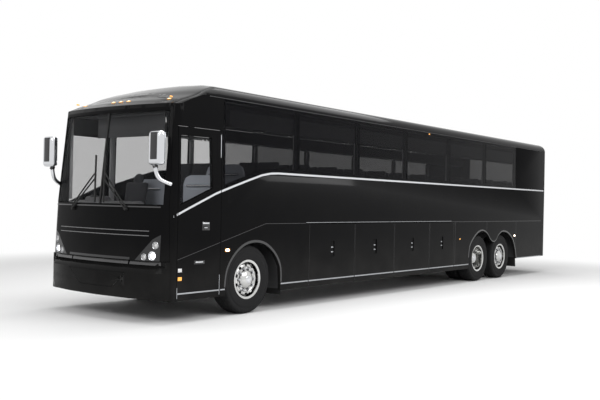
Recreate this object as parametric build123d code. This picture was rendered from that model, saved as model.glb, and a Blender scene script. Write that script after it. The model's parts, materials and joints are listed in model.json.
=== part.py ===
from build123d import *
from math import atan2, cos, radians, sin, sqrt
import os

os.makedirs("parts", exist_ok=True)

# Frame and overall sizes, in millimetres
# X is across the bus (+X is its left, the entrance side), Y runs from front (low) to back, Z is up.
# Lengths along the bus are first written as stations: millimetres behind the bumper's face.
LENGTH = 13900
HALF_LENGTH = LENGTH / 2
HALF_WIDTH = 1295
ROOF_TOP = 3505
WALL = 50
SEAM = 4
DOOR_GAP = 7
FAR = 2000

# Heights of the lines along the side
SKIRT_BOTTOM = 315
REAR_SKIRT_BOTTOM = 440
BELT = 1373
RAIL_TOP = 1435
GUTTER = 3240
STRIPE = [(318, 1483), (551, 1581), (1158, 1825), (1593, 1961), (1879, 2047),
          (2172, 2131), (2389, 2166), (2577, 2176), (11908, 2178)]
GLASS_LIFT = 16
PANE_EDGES = [1300, 3077, 4857, 6566, 8385, 10169, 11908]
PILLAR_HALF = 55
WINDOW_TOP = 3180
WINDOW_RISE = 55
PANE_THICK = 8
PANE_REBATE = 12

# Front face: bowed in plan, leaning back in steps
BOW_RADIUS = 5500
FRONT_CORNER = 210
REAR_CORNER = 150
SETBACKS = [(250, 45), (870, 38), (1640, 72), (2970, 213), (3700, 290)]
MASK_BOTTOM = 867
MASK_EDGE = [(-100, 0), (290, 0), (270, 1600), (378, 3250), (378, 3700), (-100, 3700)]
BEHIND_MASK = [(s + SEAM, z) if s > 0 else (s, z) for s, z in MASK_EDGE]
REAR_CAP = 13600

# Wheels: station, offset of the (outer) tyre's middle from the centreline
TYRE_RADIUS = 525
TYRE_WIDTH = 310
BEAD_RADIUS = 286
TRACK = 1100
TWIN_PITCH = 345
AXLES = {"front": 1930, "drive": 9910, "tag": 11115}
HUB_BORE = 72
SPINDLE = 58
KINGPIN = 950

# Arches as outlines in (station, height)
FRONT_ARCH = [(1380, 0), (1380, 437), (1425, 690), (1572, 900), (1790, 1045), (2035, 1092),
              (2280, 1045), (2498, 900), (2640, 690), (2664, 437), (2664, 0)]
REAR_ARCH = [(9345, 0), (9345, 560), (9395, 800), (9540, 960), (9795, 1112), (10040, 1157),
             (10285, 1090), (10500, 930), (10660, 885), (10790, 930), (10900, 1030), (11120, 1120),
             (11430, 1090), (11730, 932), (11880, 722), (11985, 450), (11985, 0)]

# Doors along both lower sides: first and last station
BAY_DOORS = {"1": (3399, 4768), "2": (4768, 6127), "3": (6127, 7523), "4": (7523, 8613)}
BAY_FLOOR = 420
DECK = 1300
JACK_PAD = 60
JACK_LEVEL = 590
JACK_STATIONS = (1450, 12900)
TOW_BORE = 17
TOW_BOSS = 40
TOW_CLEAR = 24
FRONT_TOW = (520, 600, (90, 170))
REAR_TOW = (520, 540, (13760, 13840))
DECK_THICK = 40
ENTRANCE = (400, 1268)
ENTRANCE_TOP = 2750


def station(s):
    """Y of a place measured back from the bumper's face."""
    return s - HALF_LENGTH


def block(x, s, z):
    """A box from three (low, high) pairs."""
    sides = [high - low for low, high in (x, s, z)]
    middle = [(low + high) / 2 for low, high in (x, s, z)]
    return Pos(middle[0], station(middle[1]), middle[2]) * Box(*sides)


def side_prism(points, x):
    """An outline in (station, height) drawn across the bus from x[0] to x[1]."""
    outline = Polyline(*[(station(s), z) for s, z in points], close=True)
    return extrude(Plane.YZ.offset(x[0]) * make_face(outline), x[1] - x[0], dir=(1, 0, 0))


def plan_prism(points, z):
    """An outline in (x, station) drawn up from z[0] to z[1]."""
    outline = Polyline(*[(x, station(s)) for x, s in points], close=True)
    return extrude(Pos(0, 0, z[0]) * make_face(outline), z[1] - z[0], dir=(0, 0, 1))


def cross_bar(radius, x, s, z):
    """A round bar lying across the bus."""
    bar = Cylinder(radius, x[1] - x[0])
    return Pos((x[0] + x[1]) / 2, station(s), z) * Rot(0, 90, 0) * bar


def post(radius, x, s, z):
    """A round upright bar."""
    return Pos(x, station(s), (z[0] + z[1]) / 2) * Cylinder(radius, z[1] - z[0])


def turned(points, x, s, z, outward=1):
    """An outline in (offset outward, radius) spun round a line across the bus."""
    outline = Polyline(*[(outward * u, r) for u, r in points], close=True)
    return Pos(x, station(s), z) * revolve(make_face(outline), Axis.X, 360)


def fuse(shapes):
    whole = shapes[0]
    for shape in shapes[1:]:
        whole = whole + shape
    return whole


def both(shape):
    """The shape and its mirror image on the other side of the bus."""
    return shape + mirror(shape, about=Plane.YZ)


# Outer skin: plan outlines stacked up, trimmed by the cross-section and by the side view
def body_plan(inset, setback):
    half = HALF_WIDTH - inset
    bow = BOW_RADIUS - inset
    corner = FRONT_CORNER - inset
    tail = station(LENGTH) - inset
    tail_corner = REAR_CORNER - inset
    nose = station(setback) + inset
    rise = sqrt((bow - corner) ** 2 - (half - corner) ** 2)
    middle = (half - corner, nose + bow - rise)
    touch = (bow * (half - corner) / (bow - corner), nose + bow - bow * rise / (bow - corner))
    turn = (atan2(touch[1] - middle[1], touch[0] - middle[0])) / 2
    halfway = (middle[0] + corner * cos(turn), middle[1] + corner * sin(turn))
    diagonal = tail_corner * cos(radians(45))
    bend = (half - tail_corner + diagonal, tail - tail_corner + diagonal)
    edges = [Line((half, tail - tail_corner), (half, middle[1])),
             ThreePointArc((half, middle[1]), halfway, touch),
             ThreePointArc(touch, (0, nose), (-touch[0], touch[1])),
             ThreePointArc((-touch[0], touch[1]), (-halfway[0], halfway[1]), (-half, middle[1])),
             Line((-half, middle[1]), (-half, tail - tail_corner)),
             ThreePointArc((-half, tail - tail_corner), (-bend[0], bend[1]), (-half + tail_corner, tail)),
             Line((-half + tail_corner, tail), (half - tail_corner, tail)),
             ThreePointArc((half - tail_corner, tail), bend, (half, tail - tail_corner))]
    return make_face(Wire(edges))


SHOULDER = (1266, GUTTER)
ROOF_EDGE = (1040, 3420)
ROOF_BEND = (1176, 3360)


def cross_section(inset):
    half = HALF_WIDTH - inset
    shoulder = (SHOULDER[0] - inset, SHOULDER[1])
    edge = (ROOF_EDGE[0] - 0.2 * inset, ROOF_EDGE[1] - inset)
    bend = (ROOF_BEND[0] - 0.65 * inset, ROOF_BEND[1] - 0.76 * inset)
    top = ROOF_TOP - inset
    edges = [Line((half, 0), (half, RAIL_TOP)), Line((half, RAIL_TOP), shoulder),
             ThreePointArc(shoulder, bend, edge),
             ThreePointArc(edge, (0, top), (-edge[0], edge[1])),
             ThreePointArc((-edge[0], edge[1]), (-bend[0], bend[1]), (-shoulder[0], shoulder[1])),
             Line((-shoulder[0], shoulder[1]), (-half, RAIL_TOP)), Line((-half, RAIL_TOP), (-half, 0)),
             Line((-half, 0), (half, 0))]
    return make_face(Wire(edges))


def side_view(inset):
    top = ROOF_TOP - inset
    brow = (station(232 + inset), 3150)
    crown = (station(1250), top)
    bulge = (station(520 + 0.5 * inset), 3404 - 0.87 * inset)
    back = station(LENGTH) - inset
    back_bend = 120
    edges = [Line((station(-200), 0), (station(-200), 3150)), Line((station(-200), 3150), brow),
             ThreePointArc(brow, bulge, crown),
             Line(crown, (back - back_bend, top)),
             ThreePointArc((back - back_bend, top), (back - back_bend * 0.293, top - back_bend * 0.293),
                           (back, top - back_bend)),
             Line((back, top - back_bend), (back, 0)), Line((back, 0), (station(-200), 0))]
    return make_face(Wire(edges))


def envelope(inset):
    levels = [Pos(0, 0, z) * body_plan(inset, setback) for z, setback in SETBACKS]
    stack = loft(levels, ruled=True)
    across = extrude(Plane.XZ.offset(HALF_LENGTH + 400) * cross_section(inset), -LENGTH - 800)
    along = extrude(Plane.YZ.offset(-FAR) * side_view(inset), 2 * FAR, dir=(1, 0, 0))
    return stack & across & along


outer = envelope(0)
inner = envelope(WALL)
behind_pane = envelope(PANE_THICK)
behind_rebate = envelope(PANE_REBATE)
shell = outer - inner
pane_skin = outer - behind_pane
rebate_skin = outer - behind_rebate

mask_region = side_prism(MASK_EDGE, (-FAR, FAR)) - block((-FAR, FAR), (-200, 400), (0, MASK_BOTTOM))
front_clear = side_prism(BEHIND_MASK, (-FAR, FAR))
back_region = block((-FAR, FAR), (REAR_CAP, LENGTH + 200), (0, 4000))

# Roof
roof_region = block((-FAR, FAR), (300, REAR_CAP - SEAM), (GUTTER, 4000))
roof = (shell & roof_region) - front_clear
HATCHES = {"front": 3600, "rear": 10300}
HATCH_HALF = 330
hatches = {}
for name, s in HATCHES.items():
    hole = block((-HATCH_HALF, HATCH_HALF), (s - HATCH_HALF, s + HATCH_HALF), (3300, 3600))
    edge = HATCH_HALF - DOOR_GAP
    plug = block((-edge, edge), (s - edge, s + edge), (3300, 3600))
    hatches[name] = shell & plug
    roof = roof - hole

# Side walls with their doors, windows and arches
side_span = [(250, SKIRT_BOTTOM), (11985, SKIRT_BOTTOM), (11985, REAR_SKIRT_BOTTOM),
             (REAR_CAP - SEAM, REAR_SKIRT_BOTTOM), (REAR_CAP - SEAM, GUTTER - SEAM), (250, GUTTER - SEAM)]
wall = (shell & side_prism(side_span, (700, FAR))) - front_clear
wall = wall - side_prism(FRONT_ARCH, (700, FAR)) - side_prism(REAR_ARCH, (700, FAR))
for first, last in BAY_DOORS.values():
    wall = wall - block((700, FAR), (first, last), (0, BELT))

band = ([(PANE_EDGES[0], 1872 + GLASS_LIFT)] + [(s, z + GLASS_LIFT) for s, z in STRIPE if s > PANE_EDGES[0]]
        + [(PANE_EDGES[-1], GUTTER - SEAM), (PANE_EDGES[0], GUTTER - SEAM)])
band_prism = side_prism(band, (700, FAR))
opening_line = [(s, z + GLASS_LIFT + WINDOW_RISE) for s, z in STRIPE if s > PANE_EDGES[0]]
opening = [(PANE_EDGES[0], 1872 + GLASS_LIFT + WINDOW_RISE)] + opening_line
opening = opening + [(PANE_EDGES[-1], WINDOW_TOP), (PANE_EDGES[0], WINDOW_TOP)]
opening_prism = side_prism(opening, (700, FAR))
wall = wall - (rebate_skin & band_prism)
panes = []
for first, last in zip(PANE_EDGES[:-1], PANE_EDGES[1:]):
    wall = wall - (opening_prism & block((700, FAR), (first + PILLAR_HALF, last - PILLAR_HALF), (0, 4000)))
    panes.append(pane_skin & band_prism & block((700, FAR), (first + SEAM, last - SEAM), (0, 4000)))
glass_band = fuse(panes)

DOOR_GLASS = [(450, 2621), (1047, 2627), (1080, 1895), (450, 1650)]
DRIVER_WINDOW = [(450, 2700), (1180, 2700), (1180, 1960), (450, 1650)]
right_wall = mirror(wall, about=Plane.YZ)
side_wall_right = right_wall - side_prism(DRIVER_WINDOW, (-FAR, -700))
driver_pane = mirror(shell, about=Plane.YZ) & side_prism(
    [(s + (6 if s < 800 else -6), z + (6 if z < 2300 else -6)) for s, z in DRIVER_WINDOW], (-FAR, -700))
driver_pane = driver_pane & (behind_rebate - envelope(PANE_REBATE + PANE_THICK))
entrance_hole = block((700, FAR), ENTRANCE, (0, ENTRANCE_TOP))
side_wall_left = wall - entrance_hole
side_windows = both(glass_band) + driver_pane

# Entrance door: the whole wall's thickness, on a swinging arm
edge_first, edge_last = ENTRANCE[0] + DOOR_GAP, ENTRANCE[1] - DOOR_GAP
leaf_span = block((1000, FAR), (edge_first, edge_last), (SKIRT_BOTTOM, ENTRANCE_TOP - DOOR_GAP))
leaf = shell & leaf_span
leaf = leaf - side_prism(DOOR_GLASS, (700, FAR))
ARM_PIVOT = (1150, 470)
ARM_REACH = 500
ARM_LEVELS = (560, 2680)
leaf_pin = (ARM_PIVOT[0], ARM_PIVOT[1] + ARM_REACH)
door_glass = (behind_rebate - envelope(PANE_REBATE + PANE_THICK)) & side_prism(
    [(s + (6 if s < 800 else -6), z + (6 if z < 2300 else -6)) for s, z in DOOR_GLASS], (700, FAR))
door_arm = fuse([post(28, ARM_PIVOT[0], ARM_PIVOT[1], (ARM_LEVELS[0] - 40, ARM_LEVELS[1] + 40))]
                + [block((ARM_PIVOT[0] - 22, ARM_PIVOT[0] + 22), (ARM_PIVOT[1], leaf_pin[1] - 60), (z - 15, z + 15))
                   + post(34, ARM_PIVOT[0], leaf_pin[1], (z - 15, z + 15))
                   + block((ARM_PIVOT[0] - 22, ARM_PIVOT[0] + 22), (leaf_pin[1] - 70, leaf_pin[1]), (z - 15, z + 15))
                   for z in ARM_LEVELS])
for z in ARM_LEVELS:
    door_arm = door_arm - post(16, ARM_PIVOT[0], leaf_pin[1], (z - 40, z + 40))
    lug = (block((ARM_PIVOT[0] - 20, 1255), (leaf_pin[1] - 25, leaf_pin[1] + 25), (z + 22, z + 40))
           + post(10, ARM_PIVOT[0], leaf_pin[1], (z - 20, z + 40)))
    leaf = leaf + lug

# Bay doors and the engine door
bay_doors = {}
for name, (first, last) in BAY_DOORS.items():
    door = shell & block((700, FAR), (first + DOOR_GAP, last - DOOR_GAP), (SKIRT_BOTTOM, BELT - DOOR_GAP))
    middle = (first + last) / 2
    latch = block((1270, FAR), (middle - 50, middle + 50), (800, 1064))
    bay_doors["left_" + name] = door - (latch & rebate_skin)
    bay_doors["right_" + name] = mirror(bay_doors["left_" + name], about=Plane.YZ)

ENGINE_DOOR = (-880, 880, 640, 1560)
rear_shell = shell & (back_region & block((-FAR, FAR), (REAR_CAP, LENGTH + 200), (REAR_SKIRT_BOTTOM, 4000)))
x0, x1, z0, z1 = ENGINE_DOOR
rear_cap = rear_shell - block((x0, x1), (13800, LENGTH + 200), (z0, z1))
engine_door = shell & block((x0 + DOOR_GAP, x1 - DOOR_GAP), (13800, LENGTH + 200), (z0 + DOOR_GAP, z1 - DOOR_GAP))
REAR_WINDOW = [(-950, 2180), (950, 2180), (950, 3120), (-950, 3120)]
window_hole = block((-950, 950), (13800, LENGTH + 200), (2180, 3120))
window_plug = block((-944, 944), (13800, LENGTH + 200), (2186, 3114))
rear_cap = rear_cap - window_hole
rear_window = window_plug & (behind_rebate - envelope(PANE_REBATE + PANE_THICK))
TAIL_LAMPS = [(1110, 1240, 1100, 1500), (1110, 1240, 3150, 3220)]
rear_lamps = None
for x0, x1, z0, z1 in TAIL_LAMPS:
    cut = block((x0, x1), (13780, LENGTH + 200), (z0, z1))
    rear_cap = rear_cap - both(cut & (outer - envelope(25)))
    lens = block((x0 + 3, x1 - 3), (13780, LENGTH + 200), (z0 + 3, z1 - 3)) & (outer - envelope(22))
    rear_lamps = both(lens) if rear_lamps is None else rear_lamps + both(lens)

# Front mask, windscreen and bumper
SCREEN = [(12, 1650), (1195, 1650), (1170, 2960), (12, 2960)]
mask = shell & mask_region


def front_prism(points, s=(-200, 600)):
    outline = Polyline(*[(x, z) for x, z in points], close=True)
    face = Plane.XZ.offset(-station(s[0])) * make_face(outline)
    return extrude(face, s[1] - s[0], dir=(0, 1, 0))


screen_hole = front_prism([(-1195, 1650), (1195, 1650), (1170, 2960), (-1170, 2960)])
mask = mask - screen_hole
screen_skin = envelope(PANE_REBATE) - envelope(PANE_REBATE + PANE_THICK)
half_screen = screen_skin & front_prism([(4, 1656), (1188, 1656), (1163, 2954), (4, 2954)])
windscreen = both(half_screen)


def bumper_plan(inset, setback):
    half = HALF_WIDTH - inset
    face = station(setback) + inset
    points = [(half, station(288)), (half, station(300 - 20) - 0), (half - 20, station(215)),
              (1150, face + 128), (640, face + 38), (0, face)]
    left = points[1:]
    right = [(-x, yy) for x, yy in reversed(points[1:-1])]
    return make_face(Polyline(*left, *right, close=True))


BUMPER_LEVELS = [(330, 46), (470, 8), (700, 0), (800, 14), (862, 36)]
bumper_outer = loft([Pos(0, 0, z) * bumper_plan(0, setback) for z, setback in BUMPER_LEVELS], ruled=True)
bumper_inner = loft([Pos(0, 0, z) * bumper_plan(45, setback) for z, setback in
                     [(z + (-20 if z == 330 else 20 if z == 862 else 0), b) for z, b in BUMPER_LEVELS]], ruled=True)
front_bumper = bumper_outer - bumper_inner


def along_bar(radius, x, z, s):
    """A round bar lying along the bus."""
    return Pos(x, station((s[0] + s[1]) / 2), z) * Rot(90, 0, 0) * Cylinder(radius, s[1] - s[0])


x, z, reach = FRONT_TOW
front_bumper = front_bumper - along_bar(TOW_CLEAR, x, z, (-50, reach[0]))
front_bumper = front_bumper + (along_bar(TOW_BOSS, x, z, (reach[0] - 25, reach[1])) & bumper_outer)
front_bumper = front_bumper - along_bar(TOW_CLEAR, x, z, (-50, reach[0])) - along_bar(TOW_BORE, x, z, (-50, 250))
x, z, reach = REAR_TOW
rear_cap = rear_cap + along_bar(TOW_BOSS, x, z, (reach[0], 13860)) - along_bar(TOW_BORE, x, z, (13700, 14000))
rear_cap = rear_cap - along_bar(TOW_CLEAR, x, z, (reach[1], 14000))

LAMPS = [(1113, 1085, 48), (1068, 940, 62), (930, 920, 44)]
front_lamps = None
for x, z, radius in LAMPS:
    can = Pos(x, station(150), z) * Rot(90, 0, 0) * Cylinder(radius, 500)
    hollow = Pos(x, station(150), z) * Rot(90, 0, 0) * Cylinder(radius + 4, 500)
    mask = mask - both(hollow)
    lens = can & (behind_rebate - envelope(40))
    front_lamps = both(lens) if front_lamps is None else front_lamps + both(lens)

# Structure under the floor
under_wall = block((500, 600), (1400, 12000), (0, 640))
wheelhouse_front = (block((560, 1238), (1296, 2700), (330, 1212)) - block((575, 1300), (1311, 2685), (0, 1197))
                    - under_wall)
wheelhouse_rear = (block((560, 1238), (9320, 12020), (460, 1240)) - block((575, 1300), (9335, 12005), (0, 1225))
                   - under_wall)
rails = (block((400, 480), (1320, 2760), (640, 740)) + block((400, 480), (9290, 13550), (640, 740))
         + block((250, 330), (430, 1400), (640, 740)))
bay_floor = block((0, 1236), (2720, 9300), (BAY_FLOOR - 20, BAY_FLOOR))
bulkheads = [block((0, 1236), (s - 12, s + 12), (BAY_FLOOR, DECK - 10)) for s in (2760, 4768, 7523, 9290)]
cross_members = [block((0, reach), (s - 30, s + 30), (640, 740))
                 for s, reach in ((460, 330), (900, 330), (1350, 560), (2660, 560), (12000, 560), (13520, 560))]
jack_pads = [post(JACK_PAD, 440, s, (JACK_LEVEL, 660)) for s in JACK_STATIONS]
underframe = both(fuse([wheelhouse_front, wheelhouse_rear, rails, bay_floor] + bulkheads + cross_members
                       + jack_pads))

deck_half = block((350, 1236), (1300, REAR_CAP - 10), (DECK, DECK + DECK_THICK))
aisle = block((-350, 350), (1900, REAR_CAP - 10), (DECK, DECK + DECK_THICK))
driver_floor = block((-1236, 350), (420, 1296), (900, 940))
riser = block((-1236, 350), (1256, 1296), (940, DECK))
steps = [block((950, 1236), (420, 1256), (360, 400)), block((700, 990), (420, 1256), (540, 580)),
         block((450, 740), (420, 1256), (720, 760))]
step_walls = [block((950, 990), (420, 1256), (380, 560)), block((700, 740), (420, 1256), (560, 740)),
              block((450, 490), (420, 1256), (740, 930))]
aisle_steps = [block((-350, 350), (1290, 1600), (1040, 1080)), block((-350, 350), (1560, 1900), (1180, 1220)),
               block((-350, 350), (1560, 1600), (1060, 1200)), block((-350, 350), (1860, 1900), (1200, DECK + 20))]
floor_deck = fuse([deck_half, mirror(deck_half, about=Plane.YZ), aisle, driver_floor, riser]
                  + steps + step_walls + aisle_steps)
floor_deck = floor_deck - block((-350, 350), (1250, 1310), (1080, DECK + 60))

engine = block((-380, 380), (12200, 13480), (700, DECK - 20))

# Seats, racks and the driver's place
seat_rows = [2100 + 810 * row for row in range(14)]
seats = []
for s in seat_rows:
    cushion = block((330, 1190), (s, s + 450), (DECK + 400, DECK + 500))
    back = side_prism([(s + 410, DECK + 400), (s + 500, DECK + 400), (s + 640, DECK + 1060),
                       (s + 560, DECK + 1060)], (330, 1190))
    foot = block((700, 780), (s + 150, s + 300), (DECK + DECK_THICK, DECK + 420))
    seats.append(both(cushion + back + foot))
passenger_seats = fuse(seats)

rack = block((860, 1180), (1500, 13300), (2830, 2860)) + block((860, 885), (1500, 13300), (2830, 2960))
rack = rack + block((1150, 1205), (1500, 13300), (2830, 3080))
parcel_racks = both(rack)

dash = side_prism([(330, 1180), (520, 1180), (700, 1500), (640, 1590), (330, 1590)], (-1180, 380)) & inner
seat = (block((-930, -430), (850, 1290), (1330, 1440)) + block((-760, -600), (980, 1180), (940, 1340))
        + side_prism([(1230, 1400), (1330, 1400), (1430, 2040), (1340, 2040)], (-930, -430)))
column = Pos(-680, station(690), 1500) * Rot(25, 0, 0) * (Cylinder(30, 330) + Pos(0, 0, 170) * Torus(215, 16)
                                                          + Pos(0, 0, 170) * Box(430, 40, 16))
driver_station = dash + seat + column

# Mirrors and wipers
ARM_PATH = [(1190, 95, 2230), (1200, 110, 2120), (1222, 180, 2000), (1240, 300, 1930)]


def rod(start, end, radius):
    """A round bar between two (x, station, z) points with a ball at its far end."""
    first = Vector(start[0], station(start[1]), start[2])
    last = Vector(end[0], station(end[1]), end[2])
    bar = Plane(origin=first, z_dir=last - first) * Cylinder(radius, (last - first).length,
                                                             align=(Align.CENTER, Align.CENTER, Align.MIN))
    return bar + Pos(last.X, last.Y, last.Z) * Sphere(radius)


mirror_head = fillet(block((1030, 1350), (20, 150), (2215, 2630)).edges(), 30)
arm = fuse([rod(start, end, 24) for start, end in zip(ARM_PATH[:-1], ARM_PATH[1:])])
mirrors = both((mirror_head + arm) - outer)

# Wheels
tyre_half = [(-118, TYRE_RADIUS), (118, TYRE_RADIUS), (146, 500), (155, 410), (132, 310), (122, BEAD_RADIUS - 6),
             (-122, BEAD_RADIUS - 6), (-132, 310), (-155, 410), (-146, 500)]
barrel = [(-145, 300), (-132, 300), (-126, 278), (126, 278), (132, 300), (145, 300), (138, 266), (-138, 266)]
steer_disc = [(100, 270), (112, 270), (104, 150), (96, 90), (84, 90), (92, 150)]
steer_hub = [(-20, 118), (100, 118), (100, 96), (160, 92), (160, 0), (148, 0), (148, HUB_BORE), (-20, HUB_BORE)]
twin_disc = [(-118, 270), (-106, 270), (-146, 150), (-158, 150)]


def wheel(s, x, outward):
    tyre = turned(tyre_half, x, s, TYRE_RADIUS, outward)
    rim = fuse([turned(points, x, s, TYRE_RADIUS, outward) for points in (barrel, steer_disc, steer_hub)])
    return rim, tyre


wheels = {}
for axle in ("front", "tag"):
    for side, outward in (("left", 1), ("right", -1)):
        rim, tyre = wheel(AXLES[axle], outward * TRACK, outward)
        wheels[f"{axle}_rim_{side}"] = rim
        wheels[f"{axle}_tyre_{side}"] = tyre

twin_hub = [(-330, 118), (-165, 118), (-165, 160), (-150, 160), (-150, 128), (60, 118), (60, 0), (45, 0),
            (45, HUB_BORE), (-330, HUB_BORE)]
for side, outward in (("left", 1), ("right", -1)):
    s = AXLES["drive"]
    outer_x = outward * TRACK
    inner_x = outward * (TRACK - TWIN_PITCH)
    disc = [(-110, 270), (-122, 270), (-165, 150), (-150, 150)]
    rim = fuse([turned(barrel, outer_x, s, TYRE_RADIUS, outward), turned(disc, outer_x, s, TYRE_RADIUS, outward),
                turned(barrel, inner_x, s, TYRE_RADIUS, outward),
                turned([(110, 270), (122, 270), (185, 150), (170, 150)], inner_x, s, TYRE_RADIUS, outward),
                turned(twin_hub, outer_x, s, TYRE_RADIUS, outward)])
    tyres = turned(tyre_half, outer_x, s, TYRE_RADIUS, outward) + turned(tyre_half, inner_x, s, TYRE_RADIUS, outward)
    wheels[f"drive_rim_{side}"] = rim
    wheels[f"drive_tyres_{side}"] = tyres

# Axles and knuckles
front_axle = both(block((0, 890), (1880, 1980), (400, 500)) + block((845, 960), (1890, 1970), (470, 580)))
eye = post(26, KINGPIN, AXLES["front"], (300, 760))
front_axle = front_axle + both(post(50, KINGPIN, AXLES["front"], (470, 580))) - both(eye)
knuckle = (post(20, KINGPIN, AXLES["front"], (400, 650)) + post(48, KINGPIN, AXLES["front"], (400, 462))
           + post(48, KINGPIN, AXLES["front"], (588, 650))
           + block((KINGPIN + 58, KINGPIN + 90), (1880, 1980), (400, 650))
           + block((KINGPIN, KINGPIN + 80), (1895, 1965), (400, 462))
           + block((KINGPIN, KINGPIN + 80), (1895, 1965), (588, 650))
           + cross_bar(SPINDLE, (KINGPIN + 70, 1225), AXLES["front"], TYRE_RADIUS)
           + cross_bar(200, (KINGPIN + 62, KINGPIN + 78), AXLES["front"], TYRE_RADIUS))

drive_half = [(0, 190), (150, 190), (230, 85), (600, 85), (600, 205), (705, 205), (705, SPINDLE), (1130, SPINDLE)]
tag_half = [(0, 75), (900, 75), (960, 130), (960, 205), (1040, 205), (1040, SPINDLE), (1225, SPINDLE)]


def axle(half, s):
    """A one-piece axle spun from half of its outline, which starts at the middle of the bus."""
    ends = [(-half[-1][0], 0)] + [(-u, r) for u, r in reversed(half)] + half[1:] + [(half[-1][0], 0)]
    return turned(ends, 0, s, TYRE_RADIUS)


drive_axle = axle(drive_half, AXLES["drive"])
tag_axle = axle(tag_half, AXLES["tag"])

# Write every piece under its own name
pieces = {"underframe": underframe, "floor_deck": floor_deck, "roof": roof, "side_wall_left": side_wall_left,
          "side_wall_right": side_wall_right, "front_mask": mask, "front_bumper": front_bumper,
          "rear_cap": rear_cap, "windscreen": windscreen, "side_windows": side_windows,
          "rear_window": rear_window, "front_lamps": front_lamps, "rear_lamps": rear_lamps, "engine": engine,
          "passenger_seats": passenger_seats, "driver_station": driver_station, "parcel_racks": parcel_racks,
          "mirrors": mirrors, "front_axle": front_axle, "drive_axle": drive_axle, "tag_axle": tag_axle,
          "knuckle_left": knuckle, "knuckle_right": mirror(knuckle, about=Plane.YZ),
          "entrance_leaf": leaf, "entrance_glass": door_glass, "entrance_arm": door_arm,
          "engine_door": engine_door}
pieces.update(wheels)
pieces.update({"bay_door_" + name: door for name, door in bay_doors.items()})
pieces.update({"roof_hatch_" + name: hatch for name, hatch in hatches.items()})

for name, shape in pieces.items():
    export_step(shape, f"parts/{name}.step")
    box = shape.bounding_box()
    print(name, [round(v) for v in (box.min.X, box.max.X, box.min.Y, box.max.Y, box.min.Z, box.max.Z)],
          "solids", len(shape.solids()), "m3", round(shape.volume / 1e9, 4))
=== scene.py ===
# %% [markdown]
# # A three-axle touring coach in gloss black
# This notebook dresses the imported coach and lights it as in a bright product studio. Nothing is
# fitted by eye afterwards, because every new piece starts from the same real sizes.

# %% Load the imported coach
import bpy
import bmesh
import json
from math import atan2, exp, pi, radians, sqrt
from mathutils import Matrix, Vector


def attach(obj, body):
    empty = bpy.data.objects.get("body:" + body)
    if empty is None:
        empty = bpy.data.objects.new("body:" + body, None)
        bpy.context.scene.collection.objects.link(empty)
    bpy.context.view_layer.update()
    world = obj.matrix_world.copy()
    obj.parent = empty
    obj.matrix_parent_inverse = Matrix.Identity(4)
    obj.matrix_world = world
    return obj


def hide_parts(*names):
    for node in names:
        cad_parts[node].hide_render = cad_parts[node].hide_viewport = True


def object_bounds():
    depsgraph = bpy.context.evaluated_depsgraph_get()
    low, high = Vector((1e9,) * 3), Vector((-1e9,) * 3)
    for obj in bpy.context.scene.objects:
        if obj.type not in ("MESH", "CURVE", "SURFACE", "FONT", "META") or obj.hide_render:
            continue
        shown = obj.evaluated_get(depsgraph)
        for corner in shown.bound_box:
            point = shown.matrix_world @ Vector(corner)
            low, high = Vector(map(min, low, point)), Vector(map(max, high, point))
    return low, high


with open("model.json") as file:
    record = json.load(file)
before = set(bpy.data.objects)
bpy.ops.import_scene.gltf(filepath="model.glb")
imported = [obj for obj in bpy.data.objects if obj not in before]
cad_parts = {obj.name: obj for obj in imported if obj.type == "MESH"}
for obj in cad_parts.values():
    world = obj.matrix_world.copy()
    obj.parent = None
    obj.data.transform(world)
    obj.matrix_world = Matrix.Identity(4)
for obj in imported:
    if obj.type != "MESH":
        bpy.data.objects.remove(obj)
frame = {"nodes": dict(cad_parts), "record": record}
cad_low, cad_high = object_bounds()
nodes = frame["nodes"]
scene = bpy.context.scene
FRONT = cad_low.y
print("coach box", [round(v, 3) for v in cad_high - cad_low])

# %% [markdown]
# ## Where things are
# Lengths along the coach are easier to think of as stations: metres behind the bumper's face.
# One small function turns a station into Y, so the numbers below match what a tape measure would give.

# %% Stations along the coach
HALF_WIDTH = 1.295
AXLES = {"front": 1.930, "drive": 9.910, "tag": 11.115}
TYRE_RADIUS = 0.525
TRACK = 1.100
TWIN_PITCH = 0.345
SIDES = {"left": 1, "right": -1}


def at(station):
    """Y of a place measured back from the bumper's face."""
    return FRONT + station


# %% [markdown]
# ## The camera
# The photograph was taken from low down at the front corner, with the camera held almost level.
# Solving for it from the coach's straight lines gave a place, a heading, a slight roll and a focal length.
# A matrix made of three plain turns keeps those numbers readable.

# %% Camera
CAMERA_PLACE = (9.48, -14.285, 1.723)
HEADING = radians(38.03)
PITCH = radians(0.17)
ROLL = radians(1.29)
LENS_IN_PIXELS = 806.3
IMAGE_WIDTH = 600
SENSOR = 36.0

camera_data = bpy.data.cameras.new("studio_camera")
camera_data.sensor_width = SENSOR
camera_data.lens = LENS_IN_PIXELS / IMAGE_WIDTH * SENSOR
camera = bpy.data.objects.new("studio_camera", camera_data)
scene.collection.objects.link(camera)
turn = Matrix.Rotation(HEADING, 4, "Z") @ Matrix.Rotation(pi / 2 + PITCH, 4, "X") @ Matrix.Rotation(ROLL, 4, "Z")
camera.matrix_world = Matrix.Translation(CAMERA_PLACE) @ turn
scene.camera = camera
print("lens", round(camera_data.lens, 2), "mm")

# %% [markdown]
# ## Studio floor, sky and lamps
# The photograph stands on white with a soft shadow. A real studio gets that from a white sweep.
# Here the floor is a wide disc whose shader fades from a pale diffuse floor, which holds the shadow,
# to plain white far away. The world is white where it is seen or mirrored and dimmer as a light.

# %% Node helpers
def new_material(name):
    """A material with only an output and a Principled shader."""
    material = bpy.data.materials.new(name)
    material.use_nodes = True
    tree = material.node_tree
    shader = tree.nodes["Principled BSDF"]
    return material, tree, shader


def add_node(tree, kind, **settings):
    node = tree.nodes.new(kind)
    for key, value in settings.items():
        setattr(node, key, value)
    return node


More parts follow.
